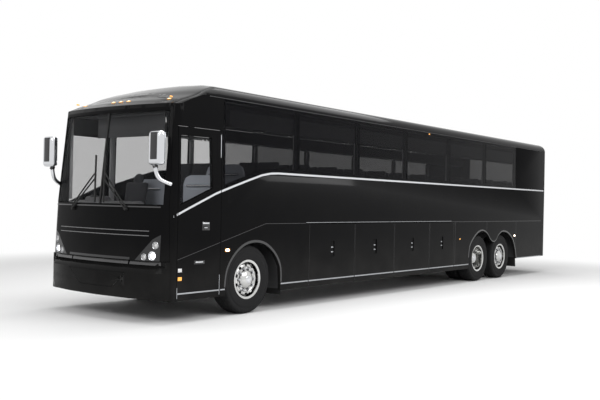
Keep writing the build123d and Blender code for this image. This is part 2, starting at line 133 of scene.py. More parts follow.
def coordinates(tree):
    """The output of the piece's own coordinates, in metres."""
    return add_node(tree, "ShaderNodeTexCoord").outputs["Object"]


def pattern(tree, kind, scale, **settings):
    """A noise or wave in metres on the piece, with its scale; returns the pattern's node."""
    node = add_node(tree, kind, **settings)
    node.inputs["Scale"].default_value = scale
    tree.links.new(coordinates(tree), node.inputs["Vector"])
    return node


def between(tree, share, low, high, target):
    """Drive a socket from low to high by a share of 0 to 1."""
    node = add_node(tree, "ShaderNodeMapRange")
    node.inputs["To Min"].default_value, node.inputs["To Max"].default_value = low, high
    tree.links.new(share, node.inputs["Value"])
    tree.links.new(node.outputs["Result"], target)


def blend_tones(tree, share, first, last):
    """A colour between two others, by a share of 0 to 1."""
    node = add_node(tree, "ShaderNodeMix", data_type="RGBA")
    node.inputs["A"].default_value, node.inputs["B"].default_value = (*first, 1.0), (*last, 1.0)
    tree.links.new(share, node.inputs["Factor"])
    return node.outputs["Result"]


def product(tree, first, last):
    node = add_node(tree, "ShaderNodeMath", operation="MULTIPLY")
    tree.links.new(first, node.inputs[0])
    tree.links.new(last, node.inputs[1])
    return node.outputs[0]


def press_in(tree, shader, height, strength, distance=0.001):
    """A bump of the given height on a shader."""
    node = add_node(tree, "ShaderNodeBump")
    node.inputs["Strength"].default_value, node.inputs["Distance"].default_value = strength, distance
    tree.links.new(height, node.inputs["Height"])
    tree.links.new(node.outputs["Normal"], shader.inputs["Normal"])


# %% World and floor
WHITE = (1.0, 1.0, 1.0, 1.0)
AMBIENT = 0.55
world = bpy.data.worlds.new("studio")
world.use_nodes = True
scene.world = world
tree = world.node_tree
tree.nodes.clear()
path = add_node(tree, "ShaderNodeLightPath")
seen = add_node(tree, "ShaderNodeMath", operation="MAXIMUM")
seen_or_through = add_node(tree, "ShaderNodeMath", operation="MAXIMUM")
tree.links.new(path.outputs["Is Camera Ray"], seen.inputs[0])
tree.links.new(path.outputs["Is Glossy Ray"], seen.inputs[1])
tree.links.new(seen.outputs[0], seen_or_through.inputs[0])
tree.links.new(path.outputs["Is Transmission Ray"], seen_or_through.inputs[1])
strength = add_node(tree, "ShaderNodeMapRange")
strength.inputs["To Min"].default_value = AMBIENT
strength.inputs["To Max"].default_value = 1.0
tree.links.new(seen_or_through.outputs[0], strength.inputs["Value"])
background = add_node(tree, "ShaderNodeBackground")
background.inputs["Color"].default_value = WHITE
tree.links.new(strength.outputs["Result"], background.inputs["Strength"])
output = add_node(tree, "ShaderNodeOutputWorld")
tree.links.new(background.outputs[0], output.inputs[0])

FLOOR_RADIUS = 60.0
FADE_START, FADE_END = 8.5, 13.0
mesh = bpy.data.meshes.new("studio_floor")
floor_mesh = bmesh.new()
bmesh.ops.create_circle(floor_mesh, cap_ends=True, radius=FLOOR_RADIUS, segments=96)
floor_mesh.to_mesh(mesh)
floor_mesh.free()
floor = bpy.data.objects.new("studio_floor", mesh)
scene.collection.objects.link(floor)
material, tree, shader = new_material("studio_floor")
shader.inputs["Base Color"].default_value = (0.86, 0.86, 0.86, 1.0)
shader.inputs["Roughness"].default_value = 0.9
shader.inputs["Specular IOR Level"].default_value = 0.1
place = add_node(tree, "ShaderNodeTexCoord")
length = add_node(tree, "ShaderNodeVectorMath", operation="LENGTH")
fade = add_node(tree, "ShaderNodeMapRange", interpolation_type="SMOOTHSTEP")
fade.inputs["From Min"].default_value = FADE_START
fade.inputs["From Max"].default_value = FADE_END
tree.links.new(place.outputs["Object"], length.inputs[0])
tree.links.new(length.outputs["Value"], fade.inputs["Value"])
bright = add_node(tree, "ShaderNodeEmission")
mix = add_node(tree, "ShaderNodeMixShader")
tree.links.new(fade.outputs["Result"], mix.inputs[0])
tree.links.new(shader.outputs[0], mix.inputs[1])
tree.links.new(bright.outputs[0], mix.inputs[2])
tree.links.new(mix.outputs[0], tree.nodes["Material Output"].inputs["Surface"])
floor.data.materials.append(material)

# %% Lamps
def soft_lamp(name, place, target, size, power):
    """A square area lamp aimed at a point."""
    data = bpy.data.lights.new(name, "AREA")
    data.shape = "RECTANGLE"
    data.size, data.size_y = size
    data.energy = power
    lamp = bpy.data.objects.new(name, data)
    scene.collection.objects.link(lamp)
    lamp.location = place
    lamp.rotation_euler = (Vector(target) - Vector(place)).to_track_quat("-Z", "Y").to_euler()
    return lamp


soft_lamp("overhead", (0, 0, 9.0), (0, 0, 0), (6.0, 16.0), 900)
soft_lamp("side", (9.0, -3.0, 6.5), (0, -1.0, 1.5), (9.0, 4.0), 450)
soft_lamp("front", (2.5, -14.0, 6.0), (0, -6.5, 1.6), (5.0, 4.0), 260)
scene.view_settings.view_transform = "Standard"

# %% [markdown]
# ## Finishes
# Each finish is one short function that builds a shader from a base colour and from what breaks it up.
# Object coordinates are metres on the coach itself, so a pattern keeps its real scale on every piece.

# %% A finish with grain
def finish(name, colour, roughness, metallic=0.0, specular=0.5, bump=0.0, scale=40.0, spread=0.2):
    """A finish whose roughness and tone vary a little, with a fine bump if wanted."""
    material, tree, shader = new_material(name)
    shader.inputs["Metallic"].default_value = metallic
    shader.inputs["Specular IOR Level"].default_value = specular
    noise = pattern(tree, "ShaderNodeTexNoise", scale)
    noise.inputs["Detail"].default_value = 4.0
    share = noise.outputs["Fac"]
    between(tree, share, roughness * (1 - spread), roughness * (1 + spread), shader.inputs["Roughness"])
    dark = [value * (1 - spread / 2) for value in colour]
    light = [min(1.0, value * (1 + spread / 2)) for value in colour]
    tree.links.new(blend_tones(tree, share, dark, light), shader.inputs["Base Color"])
    if bump:
        press_in(tree, shader, share, bump)
    return material


# %% [markdown]
# ## Polished metal with painted shade in its creases
# Polished wheels mirror a white studio, so painted shade in their corners draws their shape. The ambient
# occlusion node measures how open a point is, and where that share is low the metal's colour is painted dark.

# %% Metal
def metal_finish(name, colour, painted_shade_tone, roughness, reach=0.05, power=1.6):
    """Polished metal with painted shade: its colour turns dark where other surfaces are near."""
    material, tree, shader = new_material(name)
    shader.inputs["Metallic"].default_value = 1.0
    noise = pattern(tree, "ShaderNodeTexNoise", 60.0)
    open_share = add_node(tree, "ShaderNodeAmbientOcclusion", samples=8)
    open_share.inputs["Distance"].default_value = reach
    steep = add_node(tree, "ShaderNodeMath", operation="POWER")
    steep.inputs[1].default_value = power
    tree.links.new(open_share.outputs["AO"], steep.inputs[0])
    # Painted shade: the colour falls to the shade tone where the ambient occlusion share is low.
    tree.links.new(blend_tones(tree, steep.outputs[0], painted_shade_tone, colour), shader.inputs["Base Color"])
    between(tree, noise.outputs["Fac"], roughness * 0.7, roughness * 1.3, shader.inputs["Roughness"])
    return material


# %% [markdown]
# ## Gloss black paint
# Coach paint is a deep colour under clear lacquer. Only two things show on it: the mirror of the studio
# and a paler, rougher tone that rises from the skirt and fades out at the belt line.
# That tone is a height gradient broken up by a noise, mixed into both the colour and the roughness.
# A second, much finer noise gives the lacquer its faint orange peel.

# %% Paint
def paint_finish(name, colour, skirt_tone, gloss):
    """Gloss paint that turns paler and rougher towards the bottom."""
    material, tree, shader = new_material(name)
    parts = add_node(tree, "ShaderNodeSeparateXYZ")
    tree.links.new(coordinates(tree), parts.inputs[0])
    # Paler and rougher from the belt line down to the skirt.
    height = add_node(tree, "ShaderNodeMapRange", interpolation_type="SMOOTHSTEP")
    for socket, value in (("From Min", 1.25), ("From Max", 0.35), ("To Min", 0.06), ("To Max", 0.55)):
        height.inputs[socket].default_value = value
    tree.links.new(parts.outputs["Z"], height.inputs["Value"])
    cloud = pattern(tree, "ShaderNodeTexNoise", 2.2)
    cloud.inputs["Detail"].default_value = 8.0
    film = product(tree, height.outputs["Result"], cloud.outputs["Fac"])
    tree.links.new(blend_tones(tree, film, colour, skirt_tone), shader.inputs["Base Color"])
    between(tree, film, gloss, gloss + 0.35, shader.inputs["Roughness"])
    shader.inputs["Specular IOR Level"].default_value = 0.03
    peel = pattern(tree, "ShaderNodeTexNoise", 260.0)
    press_in(tree, shader, peel.outputs["Fac"], 0.015)
    return material


# %% [markdown]
# ## Glass
# The windscreen, the entrance door and the first windows on the driver's side are clear enough to look
# right through to the white studio. The other saloon windows are privacy glass, nearly black from outside.
# The clear share is the shader's alpha, and for the side windows it changes along the coach.

# %% Glass
def glass_finish(name, tint, clear, specular=0.5):
    """Glass that shows what is behind it: a thin mirror over a see-through shader."""
    material, tree, shader = new_material(name)
    shader.inputs["Base Color"].default_value = (*tint, 1.0)
    shader.inputs["Specular IOR Level"].default_value = specular
    shader.inputs["Alpha"].default_value = 1.0 - clear
    film = pattern(tree, "ShaderNodeTexNoise", 4.0)
    between(tree, film.outputs["Fac"], 0.02, 0.06, shader.inputs["Roughness"])
    return material


PRIVACY_CLEAR, CAB_CLEAR = 0.46, 0.79
CAB_END = 4.86


def side_glass_finish(name):
    """Privacy glass that turns clear round the driver's place."""
    material = glass_finish(name, (0.003, 0.003, 0.004), 0.5, 0.06)
    tree = material.node_tree
    parts = add_node(tree, "ShaderNodeSeparateXYZ")
    tree.links.new(coordinates(tree), parts.inputs[0])
    ahead = add_node(tree, "ShaderNodeMath", operation="LESS_THAN")
    ahead.inputs[1].default_value = at(CAB_END)
    tree.links.new(parts.outputs["Y"], ahead.inputs[0])
    right = add_node(tree, "ShaderNodeMath", operation="LESS_THAN")
    right.inputs[1].default_value = 0.0
    tree.links.new(parts.outputs["X"], right.inputs[0])
    cab = product(tree, ahead.outputs[0], right.outputs[0])
    between(tree, cab, 1 - PRIVACY_CLEAR, 1 - CAB_CLEAR, tree.nodes["Principled BSDF"].inputs["Alpha"])
    return material


# %% [markdown]
# ## Lit lenses and woven cloth
# A lit lens glows from a ribbed surface, so its wave pattern drives both a bump and the glow.
# Seat cloth is a plain weave: two crossed waves give the threads and a larger noise gives worn patches.

# %% Lens and cloth
def lens_finish(name, colour, glow, warm=None):
    """A ribbed lens that glows from its ribs."""
    material, tree, shader = new_material(name)
    shader.inputs["Base Color"].default_value = (*colour, 1.0)
    shader.inputs["Roughness"].default_value = 0.12
    shader.inputs["Emission Color"].default_value = (*(warm or colour), 1.0)
    ribs = pattern(tree, "ShaderNodeTexWave", 90.0, wave_type="BANDS", bands_direction="Z")
    press_in(tree, shader, ribs.outputs["Fac"], 0.4, 0.002)
    between(tree, ribs.outputs["Fac"], glow * 0.75, glow, shader.inputs["Emission Strength"])
    return material


def cloth_finish(name, dark, light, thread=0.0016):
    """Woven cloth of crossed threads with worn patches."""
    material, tree, shader = new_material(name)
    threads = []
    for direction in ("X", "DIAGONAL"):
        wave = pattern(tree, "ShaderNodeTexWave", 0.3 / thread, wave_type="BANDS", bands_direction=direction)
        wave.inputs["Distortion"].default_value = 0.6
        threads.append(wave.outputs["Fac"])
    weave = product(tree, *threads)
    wear = pattern(tree, "ShaderNodeTexNoise", 9.0)
    share = product(tree, weave, wear.outputs["Fac"])
    tree.links.new(blend_tones(tree, share, dark, light), shader.inputs["Base Color"])
    press_in(tree, shader, weave, 0.5)
    shader.inputs["Roughness"].default_value = 0.9
    shader.inputs["Sheen Weight"].default_value = 0.15
    return material


# %% One finish for each slot of the record
BLACK = (0.0038, 0.0038, 0.0042)
finishes = {
    "black_paint": paint_finish("black_paint", BLACK, (0.042, 0.041, 0.039), 0.07),
    "grey_paint": finish("frame_paint", (0.05, 0.05, 0.052), 0.5, specular=0.3, bump=0.3, scale=60),
    "glass": glass_finish("clear_glass", (0.020, 0.021, 0.023), 0.82, 0.15),
    "floor_vinyl": finish("floor_vinyl", (0.06, 0.06, 0.065), 0.6, bump=0.2, scale=300),
    "seat_fabric": cloth_finish("seat_cloth", (0.03, 0.03, 0.034), (0.16, 0.16, 0.18)),
    "trim_plastic": finish("trim_plastic", (0.028, 0.028, 0.030), 0.5, bump=0.3, scale=700),
    "lamp": lens_finish("lamp_lens", (0.8, 0.8, 0.8), 0.0),
    "red_lamp": lens_finish("red_lens", (0.40, 0.008, 0.006), 0.12),
    # Chrome and polished aluminium both carry painted shade, darkening towards their second colour in creases.
    "chrome": metal_finish("chrome", (0.66, 0.67, 0.69), (0.10, 0.10, 0.11), 0.06, 0.03),
    "wheel_metal": metal_finish("polished_aluminium", (0.60, 0.60, 0.59), (0.05, 0.05, 0.052), 0.16, 0.04, 1.7),
    "tyre": finish("tyre_rubber", (0.013, 0.013, 0.0135), 0.78, specular=0.15, bump=0.4, scale=160, spread=0.35),
    "axle_iron": finish("axle_iron", (0.035, 0.035, 0.037), 0.7, bump=0.5, scale=90),
    "engine_iron": finish("engine_iron", (0.09, 0.09, 0.092), 0.65, bump=0.5, scale=90),
}
amber_lens = lens_finish("amber_lens", (0.75, 0.30, 0.03), 0.8, warm=(1.0, 0.50, 0.12))
moulding = finish("dark_moulding", (0.030, 0.030, 0.031), 0.22, specular=0.6, scale=200)
# Pale grey for raised ribs and pressed lines on black panels: a painted highlight of the light their edges catch.
painted_edge_highlight = finish("painted_edge_highlight", (0.13, 0.13, 0.132), 0.35, specular=0.6, scale=200)
side_glass = side_glass_finish("privacy_glass")
rear_glass = glass_finish("rear_privacy_glass", (0.003, 0.003, 0.004), PRIVACY_CLEAR, 0.06)
rubber = finish("window_rubber", (0.012, 0.012, 0.012), 0.55, specular=0.25, bump=0.3, scale=400)
silver = finish("silver_stripe", (0.62, 0.63, 0.65), 0.38, metallic=0.35, scale=900, spread=0.12)
satin = finish("satin_aluminium", (0.42, 0.43, 0.45), 0.35, metallic=0.8, scale=500, spread=0.15)
dark_gloss = finish("dark_gloss_plastic", (0.012, 0.012, 0.013), 0.12, scale=6)
cabin_light = finish("pale_cabin_panel", (0.50, 0.50, 0.51), 0.7, bump=0.2, scale=350, spread=0.1)
head_white = lens_finish("lit_headlamp", (0.95, 0.96, 1.0), 6.0)
side_white = lens_finish("lit_side_lamp", (1.0, 0.96, 0.90), 7.0)
warm_white = lens_finish("lit_brow_lamp", (1.0, 0.86, 0.62), 1.4, warm=(1.0, 0.82, 0.55))
reading_white = lens_finish("lit_reading_lamp", (1.0, 1.0, 1.0), 9.0)
cabin_dark = finish("dark_cabin_panel", (0.055, 0.055, 0.057), 0.7, bump=0.2, scale=350, spread=0.1)
slot_of = {part["node"]: part["material_slot"] for part in frame["record"]["subparts"]}
own_finish = {"side_windows": side_glass, "rear_window": rear_glass, "parcel_racks": cabin_dark}
for name, node in nodes.items():
    node.data.materials.clear()
    node.data.materials.append(own_finish.get(name, finishes[slot_of[name]]))
print("finished", len(nodes), "nodes")

# %% [markdown]
# ## The coach's skin as two small functions
# Trim has to lie on a body that is bowed in front, round at its corners and leaning in above the belt.
# Two functions give the skin's place, so a trim piece is drawn flat and then laid on the skin.

# %% Skin
SETBACKS = [(0.250, 0.045), (0.870, 0.038), (1.640, 0.072), (3.060, 0.221), (3.150, 0.424)]
BOW, CORNER = 5.500, 0.210
LEAN_START, LEAN_END, LEAN = 1.435, 3.240, 0.029


def setback(height):
    """How far the front face leans back at a height."""
    for (low, low_back), (high, high_back) in zip(SETBACKS, SETBACKS[1:]):
        if height <= high:
            share = max(0.0, height - low) / (high - low)
            return low_back + share * (high_back - low_back)
    return SETBACKS[-1][1]


def side_x(station, height):
    """Half-width of the skin at a station and height."""
    x = HALF_WIDTH - LEAN * min(1.0, max(0.0, (height - LEAN_START) / (LEAN_END - LEAN_START)))
    ahead = setback(height) + BOW - sqrt((BOW - CORNER) ** 2 - (HALF_WIDTH - CORNER) ** 2) - station
    if ahead > 0:
        x -= CORNER - sqrt(max(0.0, CORNER ** 2 - ahead ** 2))
    return x


def front_station(x, height):
    """Station of the front face at a distance from the centreline and a height."""
    beyond = abs(x) - (HALF_WIDTH - CORNER)
    bow = setback(height) + BOW - sqrt(BOW ** 2 - min(abs(x), 1.128) ** 2)
    if beyond > 0.043:
        middle = setback(height) + BOW - sqrt((BOW - CORNER) ** 2 - (HALF_WIDTH - CORNER) ** 2)
        return middle - sqrt(max(0.0, CORNER ** 2 - beyond ** 2))
    return bow


# %% [markdown]
# ## Making pieces
# A piece starts as a bmesh, the mesh that Blender's operators shape. These helpers make the three forms
# that trim is built from: a bevelled bar, a body spun round an axis, and a flat ring cut from an outline.
# Finished pieces sit at the origin with their place in the mesh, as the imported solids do.

# %% Piece helpers
def add_piece(name, shape, body, slot, material=None, sharp=35):
    """Turn a bmesh into an object that rides on a body and takes its finish from a slot."""
    mesh = bpy.data.meshes.new(name)
    shape.to_mesh(mesh)
    shape.free()
    mesh.polygons.foreach_set("use_smooth", [True] * len(mesh.polygons))
    mesh.set_sharp_from_angle(angle=radians(sharp))
    mesh.materials.append(material or finishes[slot])
    piece = bpy.data.objects.new(name, mesh)
    scene.collection.objects.link(piece)
    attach(piece, body)
    print(name, len(mesh.polygons), "faces")
    return piece


def stamp(target, source, places=(Matrix(),)):
    """Copy one bmesh into another at each of the places."""
    for place in places:
        copy = source.copy()
        copy.transform(place)
        store = bpy.data.meshes.new("store")
        copy.to_mesh(store)
        copy.free()
        target.from_mesh(store)
        bpy.data.meshes.remove(store)
    source.free()


def round_edges(shape, offset, segments=2, edges=None):
    bmesh.ops.bevel(shape, geom=list(edges or shape.edges), offset=offset, segments=segments, profile=0.5,
                    affect="EDGES", material=-1)


def bar(size, offset=0.004, segments=2):
    """A bevelled bar about the origin."""
    shape = bmesh.new()
    bmesh.ops.create_cube(shape, size=1.0)
    bmesh.ops.scale(shape, vec=size, verts=shape.verts)
    round_edges(shape, offset, segments)
    return shape


def bar_between(target, x, s, z, offset=0.004, segments=2):
    """A bevelled bar filling three (low, high) spans of x, station and height."""
    spans = (x, s, z)
    middle = Vector([(low + high) / 2 for low, high in spans]) + Vector((0, FRONT, 0))
    stamp(target, bar([high - low for low, high in spans], offset, segments), [Matrix.Translation(middle)])


def spun(profile, steps=48, closed=True):
    """An outline of (along X, radius) points spun round the X axis."""
    shape = bmesh.new()
    verts = [shape.verts.new((u, 0.0, r)) for u, r in profile]
    pairs = list(zip(verts, verts[1:])) + ([(verts[-1], verts[0])] if closed else [])
    edges = [shape.edges.new(pair) for pair in pairs]
    bmesh.ops.spin(shape, geom=verts + edges, cent=(0, 0, 0), axis=(1, 0, 0), angle=2 * pi, steps=steps,
                   use_merge=True)
    bmesh.ops.remove_doubles(shape, verts=shape.verts, dist=0.00002)
    bmesh.ops.recalc_face_normals(shape, faces=shape.faces)
    return shape


def sheet_from(outline, width=None):
    """A flat face in the XY plane from an outline, or only a ring of the given width inside it."""
    shape = bmesh.new()
    inner = [shape.faces.new([shape.verts.new((a, b, 0.0)) for a, b in outline])]
    if width:
        bmesh.ops.inset_region(shape, faces=inner, thickness=width, use_boundary=True, use_even_offset=True)
        bmesh.ops.delete(shape, geom=inner, context="FACES")
    return shape


def rect(a_low, a_high, b_low, b_high):
    """The four corners of an upright rectangle, for sheets and seals."""
    return [(a_low, b_low), (a_high, b_low), (a_high, b_high), (a_low, b_high)]


def thicken(shape, lay, lift, depth):
    """Lay a flat sheet on a surface and give it thickness inwards: lay turns (a, b, lift) into a place."""
    flat = [(vert, vert.co.x, vert.co.y) for vert in shape.verts]
    made = bmesh.ops.extrude_face_region(shape, geom=shape.faces[:])
    raised = [item for item in made["geom"] if isinstance(item, bmesh.types.BMVert)]
    for vert in raised:
        vert.co = lay(vert.co.x, vert.co.y, lift)
    for vert, a, b in flat:
        vert.co = lay(a, b, lift - depth)
    bmesh.ops.recalc_face_normals(shape, faces=shape.faces)
    return shape


def rounded_plate(target, outline, lay, lift, depth, edge=0.002):
    """A thin plate with soft edges, laid on a surface."""
    shape = thicken(sheet_from(outline), lay, lift, depth)
    round_edges(shape, edge, 2)
    stamp(target, shape)


def on_side(side):
    """Lays (station, height) on the left or right side."""
    return lambda s, z, lift: Vector((side * (side_x(s, z) + lift), at(s), z))


def on_front(x, z, lift):
    """Lays (x, height) on the bowed front face."""
    return Vector((x, at(front_station(x, z) - lift), z))


AXIS_FLIP = {1: Matrix(), -1: Matrix.Rotation(pi, 4, "Z")}


def wheel_places(axle, outward, flip=True):
    """The middles of the wheels on one end of an axle: twin ones on the drive axle."""
    offsets = (TRACK, TRACK - TWIN_PITCH) if axle == "drive" else (TRACK,)
    turn = AXIS_FLIP[outward] if flip else Matrix()
    return [Matrix.Translation((outward * x, at(AXLES[axle]), TYRE_RADIUS)) @ turn for x in offsets]


# %% [markdown]
# ## Brow, mask and bumper
# Over the windscreen the real roof falls away in a long sloping brow, and the bumper has a sloping top band.
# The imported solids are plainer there, so a copy of each is merged, cut across at a few planes and its
# vertices are let down onto the brow's height line. Everything behind the brow stays as packed.

# %% Brow line
BROW_LINE = [(0.000, 3.048), (0.221, 3.060), (0.424, 3.150), (0.670, 3.240), (0.850, 3.320), (1.085, 3.400),
             (1.365, 3.490), (2.000, 3.600)]
WALL = 0.050


def brow_height(station, x):
    """Height of the brow at a place, following the bow of the front in plan."""
    along = station - (front_station(x, 3.0) - setback(3.0))
    for (first, low), (last, high) in zip(BROW_LINE, BROW_LINE[1:]):
        if along <= last:
            return low + (high - low) * max(0.0, along - first) / (last - first)
    return BROW_LINE[-1][1]


def solid_copy(node):
    """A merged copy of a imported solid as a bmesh."""
    shape = bmesh.new()
    shape.from_mesh(nodes[node].data)
    bmesh.ops.remove_doubles(shape, verts=shape.verts, dist=0.00005)
    return shape


def slice_across(shape, places, normal):
    """Cut a mesh across at planes, so that it has vertices to move there."""
    for place in places:
        bmesh.ops.bisect_plane(shape, geom=shape.verts[:] + shape.edges[:] + shape.faces[:], plane_co=place,
                               plane_no=normal)


def let_down(shape):
    """Lower what stands over the brow: the outer skin onto the line, the inner one a wall below it."""
    for vert in shape.verts:
        station = vert.co.y - FRONT
        outer = brow_height(station, vert.co.x)
        along = station - (front_station(vert.co.x, 3.0) - setback(3.0))
        inside = vert.co.z < skin_top(along, vert.co.x) - WALL * 0.6
        vert.co.z = min(vert.co.z, outer - WALL if inside else outer)


ROOF_NOSE = [(0.232, 3.150), (0.340, 3.300), (0.520, 3.404), (0.850, 3.478), (1.250, 3.505)]
ROOF_TOP, CROWN_DROP, CROWN_HALF = 3.505, 0.085, 1.040


def skin_top(along, x):
    """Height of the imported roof's outer skin."""
    along = max(ROOF_NOSE[0][0], along)
    height = ROOF_TOP
    for (first, low), (last, high) in zip(ROOF_NOSE, ROOF_NOSE[1:]):
        if first <= along <= last:
            height = low + (high - low) * (along - first) / (last - first)
    crown = ROOF_TOP - CROWN_DROP * (abs(x) / CROWN_HALF) ** 2
    if abs(x) > CROWN_HALF:
        crown = ROOF_TOP - CROWN_DROP - 0.180 * ((abs(x) - CROWN_HALF) / 0.226) ** 2
    return min(height, crown)


# %% Roof, walls and mask with the sloping brow
SLIVER = 0.0005
LENGTHWISE = [(x / 10, 0, 0) for x in range(-12, 13, 2)]
roof = solid_copy("roof")
ROOF_CUTS = (0.40, 0.46, 0.54, 0.62, 0.70, 0.78, 0.86, 0.96, 1.08, 1.20, 1.32, 1.44, 1.6)
slice_across(roof, [(0, at(s), 0) for s in ROOF_CUTS], (0, 1, 0))
slice_across(roof, LENGTHWISE, (1, 0, 0))
let_down(roof)
bmesh.ops.dissolve_degenerate(roof, dist=SLIVER, edges=roof.edges)
roof_piece = add_piece("roof_with_brow", roof, "body", "black_paint", sharp=25)
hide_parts("roof")
for side in SIDES:
    wall = solid_copy(f"side_wall_{side}")
    slice_across(wall, [(0, at(s), 0) for s in (0.25, 0.30, 0.36, 0.42, 0.50, 0.60, 0.72, 0.84, 0.96)], (0, 1, 0))
    for vert in wall.verts:
        vert.co.z = min(vert.co.z, brow_height(vert.co.y - FRONT, vert.co.x))
    bmesh.ops.dissolve_degenerate(wall, dist=SLIVER, edges=wall.edges)
    wall_piece = add_piece(f"wall_with_brow_{side}", wall, "body", "black_paint", sharp=25)
    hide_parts(f"side_wall_{side}")
mask = solid_copy("front_mask")
slice_across(mask, [(0, 0, z) for z in (2.99, 3.02, 3.05, 3.10, 3.16, 3.25, 3.34)], (0, 0, 1))
slice_across(mask, [(0, at(s), 0) for s in (0.24, 0.27, 0.30, 0.34)], (0, 1, 0))
slice_across(mask, LENGTHWISE, (1, 0, 0))
let_down(mask)
bmesh.ops.dissolve_degenerate(mask, dist=SLIVER, edges=mask.edges)
mask_piece = add_piece("mask_with_brow", mask, "body", "black_paint", sharp=25)
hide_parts("front_mask")

# %% Bumper with its sloping top band
bumper_shape = solid_copy("front_bumper")
slice_across(bumper_shape, [(0, 0, 0.706), (0, 0, 0.800)], (0, 0, 1))
for vert in bumper_shape.verts:
    rise = max(0.0, vert.co.z - 0.700)
    if vert.co.y < at(0.190):
        vert.co.y += min(0.040, rise * 0.45)
bumper = add_piece("bumper_with_band", bumper_shape, "body", "black_paint", sharp=25)
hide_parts("front_bumper")

# %% [markdown]
# ## Lines on the nose
# Two raised mouldings cross the mask, coloured pale grey as a painted highlight of their bright edges; a ledge runs
# under the windscreen for the wipers, a rubber bar parts the two panes, and the lamps sit in dark triangular pockets.
# All are outlines laid on the bowed front.

# %% Mouldings, ledge, pockets and the centre bar
LAMPS = [(1.113, 1.085, 0.049, False), (1.068, 0.940, 0.063, True), (0.930, 0.920, 0.045, False)]


def open_lamp_holes(flat, sign):
    """Opens a sheet round each lamp: vertices near the rim go onto it, and the faces inside go."""
    for x, z, radius, _ in LAMPS:
        middle, rim = Vector((sign * x, z, 0)), radius + 0.002
        for vert in flat.verts:
            away = vert.co - middle
            if not vert.is_boundary and abs(away.length - rim) < 0.008:
                vert.co = middle + away.normalized() * rim
        inside = [face for face in flat.faces if (face.calc_center_median() - middle).length < rim - 0.0005]
        bmesh.ops.delete(flat, geom=inside, context="FACES")


def front_strip(target, half, low, high, lift=0.004, depth=0.008, cuts=23):
    flat = sheet_from(rect(-half, half, low, high))
    long_edges = [edge for edge in flat.edges if edge.calc_length() > 0.5]
    bmesh.ops.subdivide_edges(flat, edges=long_edges, cuts=cuts, use_grid_fill=True)
    stamp(target, thicken(flat, on_front, lift, depth))


# The mouldings' ribs are real; their pale grey colour is a painted highlight.
shape = bmesh.new()
for half, low, high in ((1.000, 1.274, 1.284), (1.000, 1.209, 1.219)):
    front_strip(shape, half, low, high)
add_piece("mask_mouldings", shape, "body", "chrome", painted_edge_highlight)
shape = bmesh.new()
front_strip(shape, 1.170, 1.604, 1.622, 0.012, 0.020)
add_piece("wiper_ledge", shape, "body", "trim_plastic", moulding)
shape = bmesh.new()
front_strip(shape, 0.680, 0.872, 0.906, 0.0015, 0.006)
for sign in SIDES.values():
    pocket = [(sign * x, z) for x, z in ((0.775, 0.870), (1.190, 0.870), (1.190, 1.232), (1.068, 1.168))]
    flat = sheet_from(pocket)
    bmesh.ops.subdivide_edges(flat, edges=flat.edges, cuts=35, use_grid_fill=True)
    open_lamp_holes(flat, sign)
    stamp(shape, thicken(flat, on_front, 0.0012, 0.004))
add_piece("lamp_pockets", shape, "body", "trim_plastic", dark_gloss)
shape = bmesh.new()
flat = sheet_from(rect(-0.013, 0.013, 1.650, 2.958))
stamp(shape, thicken(flat, on_front, 0.002, 0.030))
add_piece("windscreen_centre_bar", shape, "body", "trim_plastic", rubber)

# %% [markdown]
# ## Mirrors and wipers
# The mirror heads are tall rounded chrome shells on thick curved arms. A head is a bevelled bar drawn in
# towards its front face, and an arm is a tube along a smooth curve. Each wiper has two parallel rods from
# one spindle to an upright blade beside the centre bar.

# %% A tube along a curve
def tube(points, radius):
    """A round tube with closed ends that follows points smoothly."""
    curve = bpy.data.curves.new("route", "CURVE")
    curve.dimensions = "3D"
    curve.bevel_depth = radius
    curve.bevel_resolution = 5
    curve.use_fill_caps = True
    spline = curve.splines.new("NURBS")
    spline.points.add(len(points) - 1)
    for point, place in zip(spline.points, points):
        point.co = (*place, 1.0)
    spline.order_u = 3
    spline.use_endpoint_u = True
    holder = bpy.data.objects.new("route", curve)
    mesh = bpy.data.meshes.new_from_object(holder)
    shape = bmesh.new()
    shape.from_mesh(mesh)
    bmesh.ops.remove_doubles(shape, verts=shape.verts, dist=0.00005)
    bpy.data.objects.remove(holder)
    bpy.data.curves.remove(curve)
    bpy.data.meshes.remove(mesh)
    return shape


# %% Mirror heads and arms
HEAD = (1.212, 0.060, 2.420)
ARM = [(1.165, 0.066, 2.235), (1.170, 0.085, 2.120), (1.185, 0.120, 2.020), (1.215, 0.190, 1.965),
       (1.262, 0.292, 1.930)]
HEAD_TAPER = 0.9
shape = bmesh.new()
for sign in SIDES.values():
    head = bar((0.262, 0.110, 0.470), 0.048, 6)
    for vert in head.verts:
        if vert.co.y < 0:
            vert.co.x *= 1 - HEAD_TAPER * abs(vert.co.y)
            vert.co.z *= 1 - HEAD_TAPER * abs(vert.co.y)
    stamp(shape, head, [Matrix.Translation((sign * HEAD[0], at(HEAD[1]), HEAD[2]))])
    stamp(shape, tube([(sign * x, at(s), z) for x, s, z in ARM], 0.030))
mirrors = add_piece("mirror_heads", shape, "body", "chrome", sharp=50)
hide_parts("mirrors")

